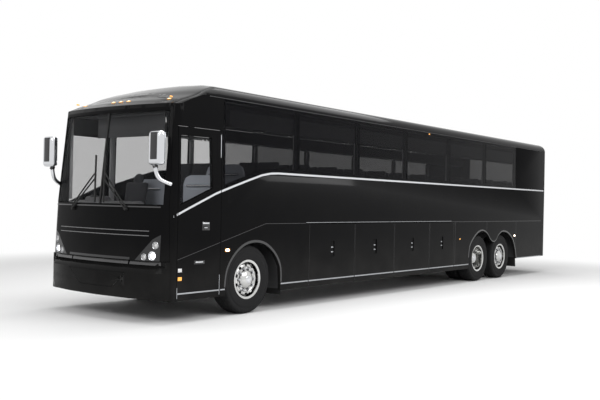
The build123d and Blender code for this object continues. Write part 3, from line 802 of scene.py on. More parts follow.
# %% Wipers
BLADE_RADIUS, ROD_RADIUS = 0.014, 0.011
WIPERS = [((0.575, 1.575), (0.101, 1.660), (0.045, 2.350)), ((-0.638, 1.560), (-0.097, 1.660), (-0.180, 2.350))]
shape = bmesh.new()
for spindle, foot, tip in WIPERS:
    middle = ((foot[0] + tip[0]) / 2, (foot[1] + tip[1]) / 2)
    blade = [on_front(foot[0], foot[1], 0.012), on_front(*middle, 0.014), on_front(tip[0], tip[1], 0.012)]
    stamp(shape, tube(blade, BLADE_RADIUS))
    for up, over in ((0.0, 0.0), (0.045, 0.090)):
        start = on_front(spindle[0], spindle[1] + up, 0.034)
        end = on_front(middle[0], middle[1] + over, 0.020)
        stamp(shape, tube([start, start.lerp(end, 0.5) + Vector((0, -0.012, 0)), end], ROD_RADIUS))
    knob = spun([(0.0, 0.0), (0.0, 0.026), (0.030, 0.024), (0.046, 0.016), (0.048, 0.0)], 24)
    stamp(shape, knob, [Matrix.Translation(on_front(*spindle, 0.0)) @ Matrix.Rotation(-pi / 2, 4, "Z")])
    link = Matrix.Translation(on_front(spindle[0], spindle[1] + 0.022, 0.030))
    stamp(shape, bar((0.022, 0.018, 0.070), 0.005, 2), [link])
add_piece("wipers", shape, "body", "trim_plastic", rubber)

# %% [markdown]
# ## Wheels
# A polished wheel is a barrel, a dished disc with ten hand holes, and a hub. Barrel and hub are closed
# outlines spun round the axle. The disc is an open sheet: faces are taken out of it for the hand holes
# before it gets its thickness, so the holes' walls come by themselves.

# %% Wheel discs with hand holes
BARREL = [(-0.145, 0.300), (-0.132, 0.300), (-0.126, 0.278), (0.126, 0.278), (0.132, 0.300), (0.145, 0.300),
          (0.145, 0.292), (0.137, 0.266), (-0.137, 0.266)]
STEER_DISC = [(0.062, 0.271), (0.078, 0.262), (0.094, 0.249), (0.106, 0.236), (0.113, 0.222), (0.116, 0.206),
              (0.112, 0.194), (0.106, 0.187), (0.106, 0.118)]
STEER_HUB = [(-0.020, 0.118), (0.106, 0.118), (0.106, 0.142), (0.120, 0.142), (0.148, 0.118), (0.166, 0.070),
             (0.168, 0.000), (-0.020, 0.000)]
OUTER_DISC = [(-0.100, 0.271), (-0.112, 0.262), (-0.120, 0.249), (-0.126, 0.236), (-0.132, 0.214), (-0.138, 0.200),
              (-0.146, 0.180), (-0.150, 0.150)]
INNER_DISC = [(0.110, 0.270), (0.170, 0.150)]
TWIN_HUB = [(-0.330, 0.118), (-0.165, 0.118), (-0.165, 0.160), (-0.150, 0.160), (-0.150, 0.128), (0.040, 0.118),
            (0.058, 0.096), (0.060, 0.000), (-0.330, 0.000)]
DISC_STEPS, HOLES = 80, 10
HOLE_STEPS = (3, 4, 5)


def disc(profile, low, high, thick=0.009):
    """A wheel disc with a ring of hand holes between two radii."""
    shape = spun(profile, DISC_STEPS, closed=False)
    open_faces = []
    for face in shape.faces:
        middle = face.calc_center_median()
        radius = sqrt(middle.y ** 2 + middle.z ** 2)
        turn = int((atan2(middle.z, middle.y) / (2 * pi) + 1) * DISC_STEPS) % (DISC_STEPS // HOLES)
        if low < radius < high and turn in HOLE_STEPS:
            open_faces.append(face)
    bmesh.ops.delete(shape, geom=open_faces, context="FACES")
    corners = [vert for vert in shape.verts if vert.is_boundary and len(vert.link_edges) == 4
               and low - 0.02 < sqrt(vert.co.y ** 2 + vert.co.z ** 2) < high + 0.02]
    bmesh.ops.bevel(shape, geom=corners, offset=0.006, segments=2, profile=0.5, affect="VERTICES", material=-1)
    bmesh.ops.solidify(shape, geom=shape.faces[:], thickness=thick)
    bmesh.ops.recalc_face_normals(shape, faces=shape.faces)
    return shape


for side, outward in SIDES.items():
    for axle in AXLES:
        places = wheel_places(axle, outward)
        shape = bmesh.new()
        stamp(shape, spun(BARREL, 72), places)
        stamp(shape, spun(TWIN_HUB if axle == "drive" else STEER_HUB, 48), places[:1])
        if axle == "drive":
            stamp(shape, disc(OUTER_DISC, 0.200, 0.256), places[:1])
            stamp(shape, disc(INNER_DISC, 0.0, 0.0), places[1:])
        else:
            stamp(shape, disc(STEER_DISC, 0.205, 0.262), places)
        piece = add_piece(f"{axle}_wheel_metal_{side}", shape, f"{axle}_wheel_{side}", "wheel_metal")
        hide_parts(f"{axle}_rim_{side}")

# %% [markdown]
# ## Tyres
# A coach tyre is a rubber ring with a rib tread: four grooves run round it, and the shoulders carry
# short cross notches that let water out. The profile is drawn once with its grooves, spun round the axle,
# and every third shoulder face is inset downwards for a notch. The sidewall steps hold the rim guard.

# %% Tyres
GROOVES = (-0.082, -0.028, 0.028, 0.082)
GROOVE_HALF, GROOVE_DEPTH = 0.006, 0.013
SIDEWALL = [(0.121, 0.281), (0.133, 0.287), (0.140, 0.298), (0.140, 0.306), (0.146, 0.312), (0.1525, 0.350),
            (0.1555, 0.395), (0.1560, 0.412), (0.1550, 0.430), (0.1535, 0.432), (0.1525, 0.456), (0.1535, 0.458),
            (0.1500, 0.486), (0.1440, 0.500), (0.1340, 0.5120), (0.1180, 0.5200)]
CROWN = 0.5245
TYRE_STEPS = 108


def tyre_profile():
    """The outline of a tyre with its rib grooves, as (along X, radius)."""
    half = [(-u, r) for u, r in SIDEWALL]
    tread = []
    for middle in GROOVES:
        edge = CROWN - 0.0035 * (abs(middle) / 0.1) ** 2
        tread += [(middle - GROOVE_HALF, edge), (middle - 0.6 * GROOVE_HALF, edge - GROOVE_DEPTH),
                  (middle + 0.6 * GROOVE_HALF, edge - GROOVE_DEPTH), (middle + GROOVE_HALF, edge)]
    return half + tread + list(reversed(SIDEWALL))


def tyre():
    """A tyre with notched shoulders."""
    shape = spun(tyre_profile(), TYRE_STEPS)
    shoulder = []
    for face in shape.faces:
        middle = face.calc_center_median()
        radius = sqrt(middle.y ** 2 + middle.z ** 2)
        turn = round((atan2(middle.z, middle.y) / (2 * pi) + 1) * TYRE_STEPS)
        if 0.118 < abs(middle.x) < 0.144 and radius > 0.505 and turn % 3 == 0:
            shoulder.append(face)
    bmesh.ops.inset_individual(shape, faces=shoulder, thickness=0.003, depth=-0.006)
    return shape


for side, outward in SIDES.items():
    for axle in AXLES:
        shape = bmesh.new()
        stamp(shape, tyre(), wheel_places(axle, outward, flip=False))
        node = f"drive_tyres_{side}" if axle == "drive" else f"{axle}_tyre_{side}"
        piece = add_piece(f"{axle}_tread_{side}", shape, f"{axle}_wheel_{side}", "tyre")
        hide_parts(node)

# %% [markdown]
# ## Wheel nuts and hub caps
# Polished wheels are held by ten nuts standing in a ring round the hub, each with a stud end and a washer.
# One nut is made from two cones and a short bar, then stamped round the hub ten times.

# %% Wheel nuts
NUT_RING, NUTS = 0.165, 10
NUT_SEATS = {"front": 0.106, "drive": -0.146, "tag": 0.106}


def nut():
    """A nut with its washer and stud end, pointing along +X."""
    shape = bmesh.new()
    turn = Matrix.Rotation(pi / 2, 4, "Y")
    rows = [(24, 0.0215, 0.0190, 0.005, 0.0025), (6, 0.0185, 0.0175, 0.024, 0.017), (12, 0.0100, 0.0090, 0.012, 0.035)]
    for corners, low, high, depth, middle in rows:
        bmesh.ops.create_cone(shape, cap_ends=True, segments=corners, radius1=low, radius2=high, depth=depth,
                              matrix=Matrix.Translation((middle, 0, 0)) @ turn)
    return shape


CAP_PROFILES = {"front": [(0.1685, 0.0), (0.1690, 0.030), (0.1680, 0.036), (0.1700, 0.040), (0.1700, 0.052),
                          (0.1670, 0.056), (0.1640, 0.060), (0.1560, 0.060), (0.1560, 0.0)],
                "drive": [(0.0610, 0.0), (0.0615, 0.036), (0.0600, 0.044), (0.0640, 0.050), (0.0640, 0.064),
                          (0.0600, 0.070), (0.0500, 0.074), (0.0450, 0.0)]}
CAP_PROFILES["tag"] = CAP_PROFILES["front"]
for side, outward in SIDES.items():
    for axle in AXLES:
        shape = bmesh.new()
        centre = wheel_places(axle, outward)[0]
        ring = [centre @ Matrix.Rotation(2 * pi * (turn + 0.5) / NUTS, 4, "X")
                @ Matrix.Translation((NUT_SEATS[axle], 0, NUT_RING)) for turn in range(NUTS)]
        stamp(shape, nut(), ring)
        stamp(shape, spun(CAP_PROFILES[axle], 48), [centre])
        add_piece(f"{axle}_nuts_{side}", shape, f"{axle}_wheel_{side}", "wheel_metal", finishes["chrome"])

# %% [markdown]
# ## Front lamps
# Each front corner has three round lamps in a triangular pocket: a bright bowl, a bulb in its middle,
# and a domed clear lens in a chrome ring. Bowl, ring and lens are spun outlines. They are turned to face
# square to the bowed front, and the dipped beam is lit as in the photograph.

# %% Front lamps
def lamp_bowl(radius):
    return [(0.004, radius + 0.003), (0.006, radius), (0.004, radius - 0.004), (-0.012, radius - 0.006),
            (-0.030, radius * 0.62), (-0.040, radius * 0.25), (-0.041, 0.0), (-0.045, 0.0), (-0.044, radius * 0.30),
            (-0.033, radius * 0.70), (-0.014, radius + 0.001), (-0.002, radius + 0.003)]


def lamp_dome(radius):
    edge = radius - 0.005
    return [(0.010, 0.0), (0.0088, edge * 0.45), (0.005, edge * 0.80), (0.000, edge), (-0.004, edge),
            (0.002, edge * 0.78), (0.006, edge * 0.45), (0.007, 0.0)]


def lamp_bulb(radius):
    return [(-0.008, 0.0), (-0.010, radius * 0.22), (-0.018, radius * 0.30), (-0.036, radius * 0.20), (-0.038, 0.0)]


def facing(x, z):
    """The place of a lamp on the front, its X axis turned square to the bow and forwards."""
    angle = -pi / 2 + atan2(x, BOW)
    return Matrix.Translation(on_front(x, z, -0.006)) @ Matrix.Rotation(angle, 4, "Z")


bowls, domes, lit, unlit = bmesh.new(), bmesh.new(), bmesh.new(), bmesh.new()
for sign in SIDES.values():
    for x, z, radius, on in LAMPS:
        place = facing(sign * x, z)
        stamp(bowls, spun(lamp_bowl(radius), 40), [place])
        stamp(domes, spun(lamp_dome(radius), 40), [place])
        stamp(lit if on else unlit, spun(lamp_bulb(radius * (2.2 if on else 1.6)), 24), [place])
add_piece("front_lamp_bowls", bowls, "body", "lamp", finishes["chrome"])
lamp_domes = add_piece("front_lamp_lenses", domes, "body", "lamp", glass_finish("lamp_glass", (0.9, 0.9, 0.9), 0.72))
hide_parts("front_lamps")
add_piece("dipped_beam_bulbs", lit, "body", "lamp", head_white)
add_piece("main_beam_bulbs", unlit, "body", "lamp", finishes["lamp"])

# %% [markdown]
# ## Marker and side lamps
# Five small lamps stand on the brow, and lit lamps sit ahead of the front wheels and behind the last ones.
# Each is an amber base with a flattened, glowing dome on it, laid on the brow's slope or on the side skin.

# %% Marker lamps
BROW_LAMPS = (-0.950, -0.170, 0.0, 0.170, 0.950)
SIDE_LAMPS = [(1.415, 0.993, 0.040, 0.019), (11.864, 1.014, 0.040, 0.019), (8.900, 0.993, 0.024, 0.010),
              (7.473, 3.200, 0.022, 0.009), (0.445, 3.170, 0.022, 0.009)]
BROW_ROW, BROW_SLOPE = 0.424, radians(20)


def cap_dome(size):
    """A flattened dome whose flat side faces down."""
    shape = bmesh.new()
    bmesh.ops.create_uvsphere(shape, u_segments=20, v_segments=10, radius=1.0)
    cut = bmesh.ops.bisect_plane(shape, geom=shape.verts[:] + shape.edges[:] + shape.faces[:], plane_co=(0, 0, -0.2),
                                 plane_no=(0, 0, -1), clear_outer=True)
    rim = [item for item in cut["geom_cut"] if isinstance(item, bmesh.types.BMEdge)]
    bmesh.ops.holes_fill(shape, edges=rim)
    bmesh.ops.scale(shape, vec=size, verts=shape.verts)
    return shape


bases, brow_caps, white_caps, amber_caps = bmesh.new(), bmesh.new(), bmesh.new(), bmesh.new()
for x in BROW_LAMPS:
    station = BROW_ROW + front_station(x, 3.0) - setback(3.0)
    place = Matrix.Translation((x, at(station), brow_height(station, x))) @ Matrix.Rotation(BROW_SLOPE, 4, "X")
    stamp(bases, bar((0.070, 0.034, 0.012), 0.004, 2), [place])
    stamp(brow_caps, cap_dome((0.027, 0.012, 0.006)), [place @ Matrix.Translation((0, 0, 0.006))])
for side in SIDES.values():
    for station, height, half, tall in SIDE_LAMPS:
        place = (Matrix.Translation((side * side_x(station, height), at(station), height))
                 @ Matrix.Rotation(side * pi / 2, 4, "Y"))
        stamp(bases, bar((2.5 * tall, 2.4 * half, 0.007), 0.003, 2), [place])
        cap = cap_dome((tall, half, 0.0045))
        stamp(white_caps if half > 0.03 else amber_caps, cap, [place @ Matrix.Translation((0, 0, 0.0035))])
add_piece("marker_bases", bases, "body", "lamp", amber_lens)
add_piece("brow_lamp_caps", brow_caps, "body", "lamp", warm_white)
add_piece("side_lamp_caps", white_caps, "body", "lamp", side_white)
add_piece("small_side_lamp_caps", amber_caps, "body", "lamp", amber_lens)

# %% [markdown]
# ## Silver stripe and bright strips
# A silver stripe climbs from the entrance door to the window line and runs level to the tail.
# A second, thinner bright strip follows the skirt. Both are drawn as flat outlines of station and height,
# cut where a door begins so that each door carries its own length, and laid on the skin.

# %% Stripe
STRIPE = [(0.318, 1.483), (0.551, 1.581), (1.158, 1.825), (1.593, 1.961), (1.879, 2.047), (2.172, 2.131),
          (2.389, 2.166), (2.577, 2.176), (11.908, 2.178), (13.650, 2.178)]
STRIPE_HALF = 0.0155
DOOR_SPAN = (0.410, 1.258)


def stripe_height(station):
    for (first, low), (last, high) in zip(STRIPE, STRIPE[1:]):
        if station <= last:
            return low + (high - low) * (station - first) / (last - first)
    return STRIPE[-1][1]


def band_outline(first, last, points, half):
    """The outline of a band of even height along points, between two stations."""
    inner_points = [(s, z) for s, z in points if first < s < last]
    line = [(first, stripe_height(first))] + inner_points + [(last, stripe_height(last))]
    return [(s, z - half) for s, z in line] + [(s, z + half) for s, z in reversed(line)]


def strip_on(target, outline, side, lift=0.0015, depth=0.004):
    stamp(target, thicken(sheet_from(outline), on_side(side), lift, depth))


for side, outward in SIDES.items():
    runs = [(0.330, 0.396), (1.272, 13.595)] if side == "left" else [(0.330, 13.595)]
    shape = bmesh.new()
    for first, last in runs:
        strip_on(shape, band_outline(first, last, STRIPE, STRIPE_HALF), outward)
    add_piece(f"silver_stripe_{side}", shape, "body", "chrome", silver)
shape = bmesh.new()
strip_on(shape, band_outline(*DOOR_SPAN, STRIPE, STRIPE_HALF), 1)
add_piece("silver_stripe_door", shape, "entrance_door", "chrome", silver)
for side, outward in SIDES.items():
    shape = bmesh.new()
    strip_on(shape, rect(13.606, 13.740, 2.1625, 2.1935), outward)
    add_piece(f"silver_stripe_tail_{side}", shape, "body", "chrome", silver)

# %% Bright strips on the skirt
STRIP_LEVELS = (0.405, 0.425)
REAR_STRIP_LEVELS = (0.444, 0.458)
BAY_SPANS = {"1": (3.399, 4.768), "2": (4.768, 6.127), "3": (6.127, 7.523), "4": (7.523, 8.613)}
DOOR_INSET = 0.011


def bright_strip(target, first, last, side, levels=STRIP_LEVELS):
    rounded_plate(target, rect(first, last, *levels), on_side(side), 0.0045, 0.007)


for side, outward in SIDES.items():
    shape = bmesh.new()
    low = [(1.276, 1.372), (2.672, 3.392), (8.620, 9.335)]
    for first, last in (low if side == "left" else [(0.420, 1.372)] + low[1:]):
        bright_strip(shape, first, last, outward)
    bright_strip(shape, 11.995, 13.590, outward, REAR_STRIP_LEVELS)
    add_piece(f"skirt_strip_{side}", shape, "body", "chrome", satin)
    for bay, (first, last) in BAY_SPANS.items():
        shape = bmesh.new()
        bright_strip(shape, first + DOOR_INSET, last - DOOR_INSET, outward)
        add_piece(f"skirt_strip_{side}_{bay}", shape, f"bay_door_{side}_{bay}", "chrome", satin)
shape = bmesh.new()
bright_strip(shape, *DOOR_SPAN, 1)
add_piece("skirt_strip_door", shape, "entrance_door", "chrome", satin)

# %% [markdown]
# ## Lines pressed in the side
# The side carries a raised lip round each wheel arch, a hinge rail over the bay doors, a crease that climbs
# from the door, and thin seams between its panels. They are outlines of station and height laid on the skin.

# %% Arch lips, rails, crease and seams
FRONT_ARCH = [(1.380, 0.437), (1.425, 0.690), (1.572, 0.900), (1.790, 1.045), (2.035, 1.092), (2.280, 1.045),
              (2.498, 0.900), (2.640, 0.690), (2.664, 0.437)]
REAR_ARCH = [(9.345, 0.560), (9.395, 0.800), (9.540, 0.960), (9.795, 1.112), (10.040, 1.157), (10.285, 1.090),
             (10.500, 0.930), (10.660, 0.885), (10.790, 0.930), (10.900, 1.030), (11.120, 1.120), (11.430, 1.090),
             (11.730, 0.932), (11.880, 0.722), (11.985, 0.450)]
CREASE = [(1.285, 1.118), (2.273, 1.378), (3.300, 1.378)]
DOOR_CREASE = [(0.412, 0.888), (1.256, 1.110)]
SEAMS = [(8.670, 0.470), (10.263, 1.170), (11.948, 0.470)]
CREASE_HALF = 0.0035


def smooth_route(points, steps=5):
    """More points along a flowing line through the given ones."""
    route = []
    ends = [points[0]] + points + [points[-1]]
    for before, first, last, after in zip(ends, ends[1:], ends[2:], ends[3:]):
        before, first, last, after = (Vector(point) for point in (before, first, last, after))
        for step in range(steps):
            share = step / steps
            route.append(tuple(first + (last - before) * 0.5 * share
                               + (before * 2 - first * 5 + last * 4 - after) * 0.5 * share ** 2
                               + (first * 3 - before - last * 3 + after) * 0.5 * share ** 3))
    return route + [tuple(points[-1])]


def line_band(points, half):
    return [(s, z - half) for s, z in points] + [(s, z + half) for s, z in reversed(points)]


def arch_band(points, growth):
    """The band between an arch and the same arch grown from the ground under its middle."""
    points = smooth_route(points)
    middle = (points[0][0] + points[-1][0]) / 2
    grown = [(middle + (s - middle) * growth[0], z * growth[1]) for s, z in points]
    return points + list(reversed(grown))


for side, outward in SIDES.items():
    shape = bmesh.new()
    for points, growth in ((FRONT_ARCH, (1.045, 1.034)), (REAR_ARCH, (1.022, 1.028))):
        strip_on(shape, arch_band(points, growth), outward, 0.0045, 0.012)
    add_piece(f"arch_lips_{side}", shape, "body", "black_paint", moulding)
    shape = bmesh.new()
    climb = CREASE if side == "left" else [(0.430, 0.893)] + CREASE
    for points in (climb, [(8.480, 1.376), (13.590, 1.376)]):
        strip_on(shape, line_band(points, CREASE_HALF), outward, 0.0022)
    for station, foot in SEAMS:
        strip_on(shape, rect(station - 0.003, station + 0.003, foot, 1.360), outward, 0.0008, 0.003)
    add_piece(f"side_creases_{side}", shape, "body", "black_paint", moulding)
shape = bmesh.new()
strip_on(shape, line_band(DOOR_CREASE, CREASE_HALF), 1, 0.0022)
add_piece("door_crease", shape, "entrance_door", "black_paint", moulding)

# %% Hinge rail highlight and gutter mouldings
HINGE_RAILS = [(3.310, 5.935), (5.951, 7.376), (7.392, 8.470)]
GUTTER_LEVELS = (3.226, 3.235)
for side, outward in SIDES.items():
    shape = bmesh.new()
    # A satin strip along each hinge rail's top is a painted highlight of the light line the rail catches.
    for first, last in HINGE_RAILS:
        strip_on(shape, rect(first, last, 1.386, 1.393), outward, 0.0062, 0.004)
    add_piece(f"hinge_rail_painted_highlight_{side}", shape, "body", "chrome", satin)
    shape = bmesh.new()
    strip_on(shape, rect(1.000, 13.590, *GUTTER_LEVELS), outward, 0.0040, 0.010)
    add_piece(f"gutter_bead_{side}", shape, "body", "trim_plastic", finishes["grey_paint"])

# %% [markdown]
# ## Rubber seals round the glass
# Every pane sits in a black rubber profile. A seal is the pane's outline with a ring cut from it,
# laid on the skin and rounded on its outer edges, so it catches a thin line of light as rubber does.

# %% Seals
DOOR_GLASS = [(0.450, 2.621), (1.047, 2.627), (1.080, 1.895), (0.450, 1.650)]
DRIVER_WINDOW = [(0.450, 2.700), (1.180, 2.700), (1.180, 1.960), (0.450, 1.650)]
SCREEN_HALF = [(0.006, 1.648), (1.197, 1.648), (1.172, 2.962), (0.006, 2.962)]
REAR_WINDOW = rect(-0.950, 0.950, 2.180, 3.120)
TAIL = 13.900


def spread_out(outline, growth):
    """An outline with each corner moved away from the middle along both axes."""
    middle = [sum(values) / len(outline) for values in zip(*outline)]
    return [(a + (growth if a > middle[0] else -growth), b + (growth if b > middle[1] else -growth))
            for a, b in outline]


def seal(outline, width, lay, lift=0.003, depth=0.012, cuts=6):
    """A rounded ring of rubber round a pane."""
    flat = sheet_from(outline, width)
    bmesh.ops.subdivide_edges(flat, edges=flat.edges, cuts=cuts, use_grid_fill=True)
    shape = thicken(flat, lay, lift, depth)
    rims = [edge for edge in shape.edges if len(edge.link_faces) == 2 and edge.calc_face_angle(0.0) > radians(60)]
    round_edges(shape, 0.0025, 2, rims)
    return shape


def on_tail(x, z, lift):
    """Lays (x, height) on the square tail with its round corners."""
    beyond = max(0.0, abs(x) - 1.145)
    return Vector((x, at(TAIL - 0.150 + sqrt(0.150 ** 2 - beyond ** 2) + lift), z))


add_piece("door_glass_seal", seal(spread_out(DOOR_GLASS, 0.016), 0.026, on_side(1)), "entrance_door", "trim_plastic",
          rubber)
add_piece("driver_window_seal", seal(spread_out(DRIVER_WINDOW, 0.010), 0.020, on_side(-1)), "body", "trim_plastic",
          rubber)
shape = bmesh.new()
for sign in SIDES.values():
    outline = [(sign * x, z) for x, z in SCREEN_HALF]
    stamp(shape, seal(outline, 0.018, on_front, 0.0015, 0.014, 14))
add_piece("windscreen_seal", shape, "body", "trim_plastic", rubber)
add_piece("rear_window_seal", seal(spread_out(REAR_WINDOW, 0.010), 0.022, on_tail), "body", "trim_plastic", rubber)

# %% [markdown]
# ## Entrance door fittings
# Down both edges of the door run satin strips that clamp its rubber, and a lock plate sits at hand height.
# Low on the leaf are the outer pull handle on its dark plate and two reflectors near the pillar.

# %% Door fittings
def side_plate(target, station, height, size, side=1, lift=0.003, depth=0.010, offset=0.003):
    """A rounded plate lying on the side skin."""
    half_s, half_z = size[0] / 2, size[1] / 2
    outline = rect(station - half_s, station + half_s, height - half_z, height + half_z)
    rounded_plate(target, outline, on_side(side), lift, depth, offset)


shape = bmesh.new()
for station in (0.414, 1.254):
    side_plate(shape, station, 1.520, (0.010, 2.340), lift=0.0025, depth=0.006, offset=0.001)
add_piece("door_edge_strips", shape, "entrance_door", "chrome", satin)
shape = bmesh.new()
side_plate(shape, 0.953, 1.352, (0.150, 0.120), lift=0.003, offset=0.002)
side_plate(shape, 0.953, 1.336, (0.118, 0.064), lift=0.0045, offset=0.004)
add_piece("door_lock_plate", shape, "entrance_door", "trim_plastic", dark_gloss)
shape = bmesh.new()
side_plate(shape, 0.953, 1.394, (0.130, 0.022), lift=0.0048, offset=0.002)
side_plate(shape, 0.835, 0.842, (0.150, 0.018), lift=0.0045, offset=0.002)
side_plate(shape, 0.953, 1.330, (0.060, 0.012), lift=0.0050, offset=0.001)
add_piece("door_handles", shape, "entrance_door", "chrome")
shape = bmesh.new()
side_plate(shape, 0.835, 0.838, (0.210, 0.052), lift=0.0025, offset=0.002)
add_piece("door_handle_plate", shape, "entrance_door", "trim_plastic", dark_gloss)
# The amber reflector takes the glowing amber lens finish, so it glows though it is no lamp: painted light.
REFLECTORS = [("amber_door_reflector", 0.622, amber_lens), ("pale_door_reflector", 0.740, finishes["lamp"])]
for name, height, lens in REFLECTORS:
    shape = bmesh.new()
    side_plate(shape, 0.462, height, (0.072, 0.050), lift=0.0045, offset=0.003)
    add_piece(name, shape, "entrance_door", "lamp", lens)

# %% [markdown]
# ## Bay door latches
# Each luggage door has two oval paddle latches sunk into it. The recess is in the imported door. A thin frame
# and the two paddles are laid in it, and narrow strips edge the door.

# %% Latches
LATCHES = {"1": 4.0835, "2": 5.4475, "3": 6.825, "4": 8.068}
LATCH_HEIGHTS = (0.957, 0.876)


def latch_frame(station, side):
    return seal(rect(station - 0.049, station + 0.049, 0.801, 1.063), 0.006, on_side(side), 0.0015, 0.012, 1)


def paddle(side, station, height):
    """An oval latch paddle: a stretched, flattened half ball."""
    shape = bmesh.new()
    bmesh.ops.create_uvsphere(shape, u_segments=20, v_segments=8, radius=1.0)
    bmesh.ops.scale(shape, vec=(0.008, 0.040, 0.0125), verts=shape.verts)
    place = Vector((side * (side_x(station, height) - 0.0135), at(station), height))
    bmesh.ops.translate(shape, vec=place, verts=shape.verts)
    return shape


for side, outward in SIDES.items():
    for bay, station in LATCHES.items():
        body = f"bay_door_{side}_{bay}"
        shape = latch_frame(station, outward)
        first, last = BAY_SPANS[bay]
        for edge in (first + 0.012, last - 0.012):
            side_plate(shape, edge, 0.846, (0.005, 1.020), outward, 0.001, 0.004, 0.0004)
        add_piece(f"latch_frame_{side}_{bay}", shape, body, "trim_plastic", dark_gloss)
        shape = bmesh.new()
        for height in LATCH_HEIGHTS:
            stamp(shape, paddle(outward, station, height))
        add_piece(f"latch_paddles_{side}_{bay}", shape, body, "chrome", satin)

# %% [markdown]
# ## Mirror details
# Each mirror head gets a glass facing back, split into a tall flat glass and a small wide-angle one,
# a dark gloss panel down its front that is a painted reflection of dark surroundings in the chrome, and a clamp collar
# where its arm enters it.

# %% Mirror details
shape_glass, shape_reflection_panel, shape_collar = bmesh.new(), bmesh.new(), bmesh.new()
for sign in SIDES.values():
    for low, high in ((2.272, 2.628), (2.208, 2.258)):
        size = (0.222, 0.006, high - low)
        place = Matrix.Translation((sign * HEAD[0], at(0.1145), (low + high) / 2))
        stamp(shape_glass, bar(size, 0.0025, 2), [place])
    # This dark panel paints the dark reflection seen on the chrome head's front.
    panel = bar((0.136, 0.010, 0.370), 0.0048, 4)
    stamp(shape_reflection_panel, panel, [Matrix.Translation((sign * HEAD[0], at(0.0075), 2.445))])
    collar = spun([(-0.026, 0.030), (-0.022, 0.037), (0.022, 0.037), (0.026, 0.030)], 32)
    tilt = Matrix.Rotation(radians(64), 4, "Y") if sign > 0 else Matrix.Rotation(radians(116), 4, "Y")
    stamp(shape_collar, collar, [Matrix.Translation((sign * 1.1695, at(0.082), 2.170)) @ tilt])
add_piece("mirror_glasses", shape_glass, "body", "chrome",
          finish("mirror_glass", (0.55, 0.57, 0.60), 0.03, 1.0, scale=3))
add_piece("mirror_painted_reflection_panels", shape_reflection_panel, "body", "trim_plastic", dark_gloss)
add_piece("mirror_collars", shape_collar, "body", "trim_plastic", dark_gloss)

# %% [markdown]
# ## Painted highlight line and painted reflection band on the bumper
# A thin pale line paints the highlight along the hexagon that is pressed into the real bumper, and a paler band along
# its top is a painted reflection of the bright studio on its up-tilted face.
# The bumper is faceted and leans, so each corner of a drawn outline is carried back onto it by a ray cast
# from straight ahead.

# %% Bumper highlight line and reflection band
HEXAGON = [(-0.632, 0.692), (0.632, 0.692), (0.380, 0.471), (-0.380, 0.471)]


def on_bumper(x, z, lift):
    """Lays (x, height) on the bumper, as seen from straight ahead."""
    found, spot, *_ = bumper.ray_cast(Vector((x, at(-0.5), z)), Vector((0, 1, 0)))
    return spot + Vector((0, -lift, 0)) if found else Vector((x, at(0.02) - lift, z))


# The pale line round the pressed hexagon is a painted highlight along its edge.
flat = sheet_from(HEXAGON, 0.005)
bmesh.ops.subdivide_edges(flat, edges=flat.edges, cuts=23, use_grid_fill=True)
add_piece("bumper_painted_highlight_line", thicken(flat, on_bumper, 0.006, 0.008), "body", "chrome", painted_edge_highlight)
# The paler band on the bumper's sloping top is a painted reflection of the bright studio.
flat = sheet_from(rect(-1.190, 1.190, 0.808, 0.856))
bmesh.ops.subdivide_edges(flat, edges=flat.edges, cuts=23, use_grid_fill=True)
add_piece("bumper_painted_reflection_band", thicken(flat, on_bumper, 0.002, 0.004), "body", "black_paint",
          finish("bumper_painted_reflection_band", (0.048, 0.048, 0.049), 0.16, specular=0.6, scale=30))

# %% [markdown]
# ## Mud flaps
# A rubber flap hangs behind the front and the rear wheels. It is a thin bevelled bar whose lower end is
# moved a little backwards, because rubber that has hung for years takes on a curve.

# %% Mud flaps
FLAP_FOOT, FLAP_CURVE = 0.230, 0.25
shape = bmesh.new()
for sign in SIDES.values():
    for station, top in ((2.690, 0.620), (12.020, 0.640)):
        flap = bar((0.300, 0.010, top - FLAP_FOOT), 0.004, 2)
        for vert in flap.verts:
            vert.co.y += FLAP_CURVE * (0.5 * (top - FLAP_FOOT) - vert.co.z) ** 2
        stamp(shape, flap, [Matrix.Translation((sign * TRACK, at(station), (top + FLAP_FOOT) / 2))])
add_piece("mud_flaps", shape, "body", "trim_plastic", rubber)

# %% [markdown]
# ## The tail
# The photograph doesn't show the back, so it follows what such coaches have: chrome frames round the lamps,
# a lamp over a blank plate, louvres, a pull handle and hinges on the engine door, and a chrome tailpipe.

# %% Tail fittings
TAIL_LAMPS = [(1.107, 1.243, 1.097, 1.503), (1.107, 1.243, 3.147, 3.223)]
BACKWARD = Matrix.Rotation(pi / 2, 4, "Z")
LOUVRES, LOUVRE_PITCH = 8, 0.046
shape = bmesh.new()
for sign in SIDES.values():
    for low, high, bottom, top in TAIL_LAMPS:
        stamp(shape, seal(rect(sign * low, sign * high, bottom, top), 0.008, on_tail, 0.001, 0.012, 7))
add_piece("rear_lamp_frames", shape, "body", "chrome")
shape = bmesh.new()
for row in range(LOUVRES):
    z = 0.800 + LOUVRE_PITCH * row
    rounded_plate(shape, rect(-0.640, 0.640, z, z + 0.020), on_tail, 0.0015, 0.008)
add_piece("engine_louvres", shape, "engine_door", "trim_plastic", rubber)
shape = bmesh.new()
rounded_plate(shape, rect(-0.260, 0.260, 0.472, 0.592), on_tail, 0.0015, 0.006)
add_piece("blank_plate_holder", shape, "body", "trim_plastic", dark_gloss)
shape = bmesh.new()
bar_between(shape, (-0.110, 0.110), (13.872, 13.899), (0.604, 0.618), 0.004, 3)
add_piece("plate_lamp", shape, "body", "trim_plastic", dark_gloss)
shape = bmesh.new()
bar_between(shape, (-0.130, 0.130), (13.882, 13.899), (0.700, 0.722), 0.006, 3)
for x in (-0.700, 0.700):
    bar_between(shape, (x - 0.045, x + 0.045), (13.884, 13.899), (1.520, 1.552), 0.005, 3)
add_piece("engine_door_handle", shape, "engine_door", "chrome", satin)
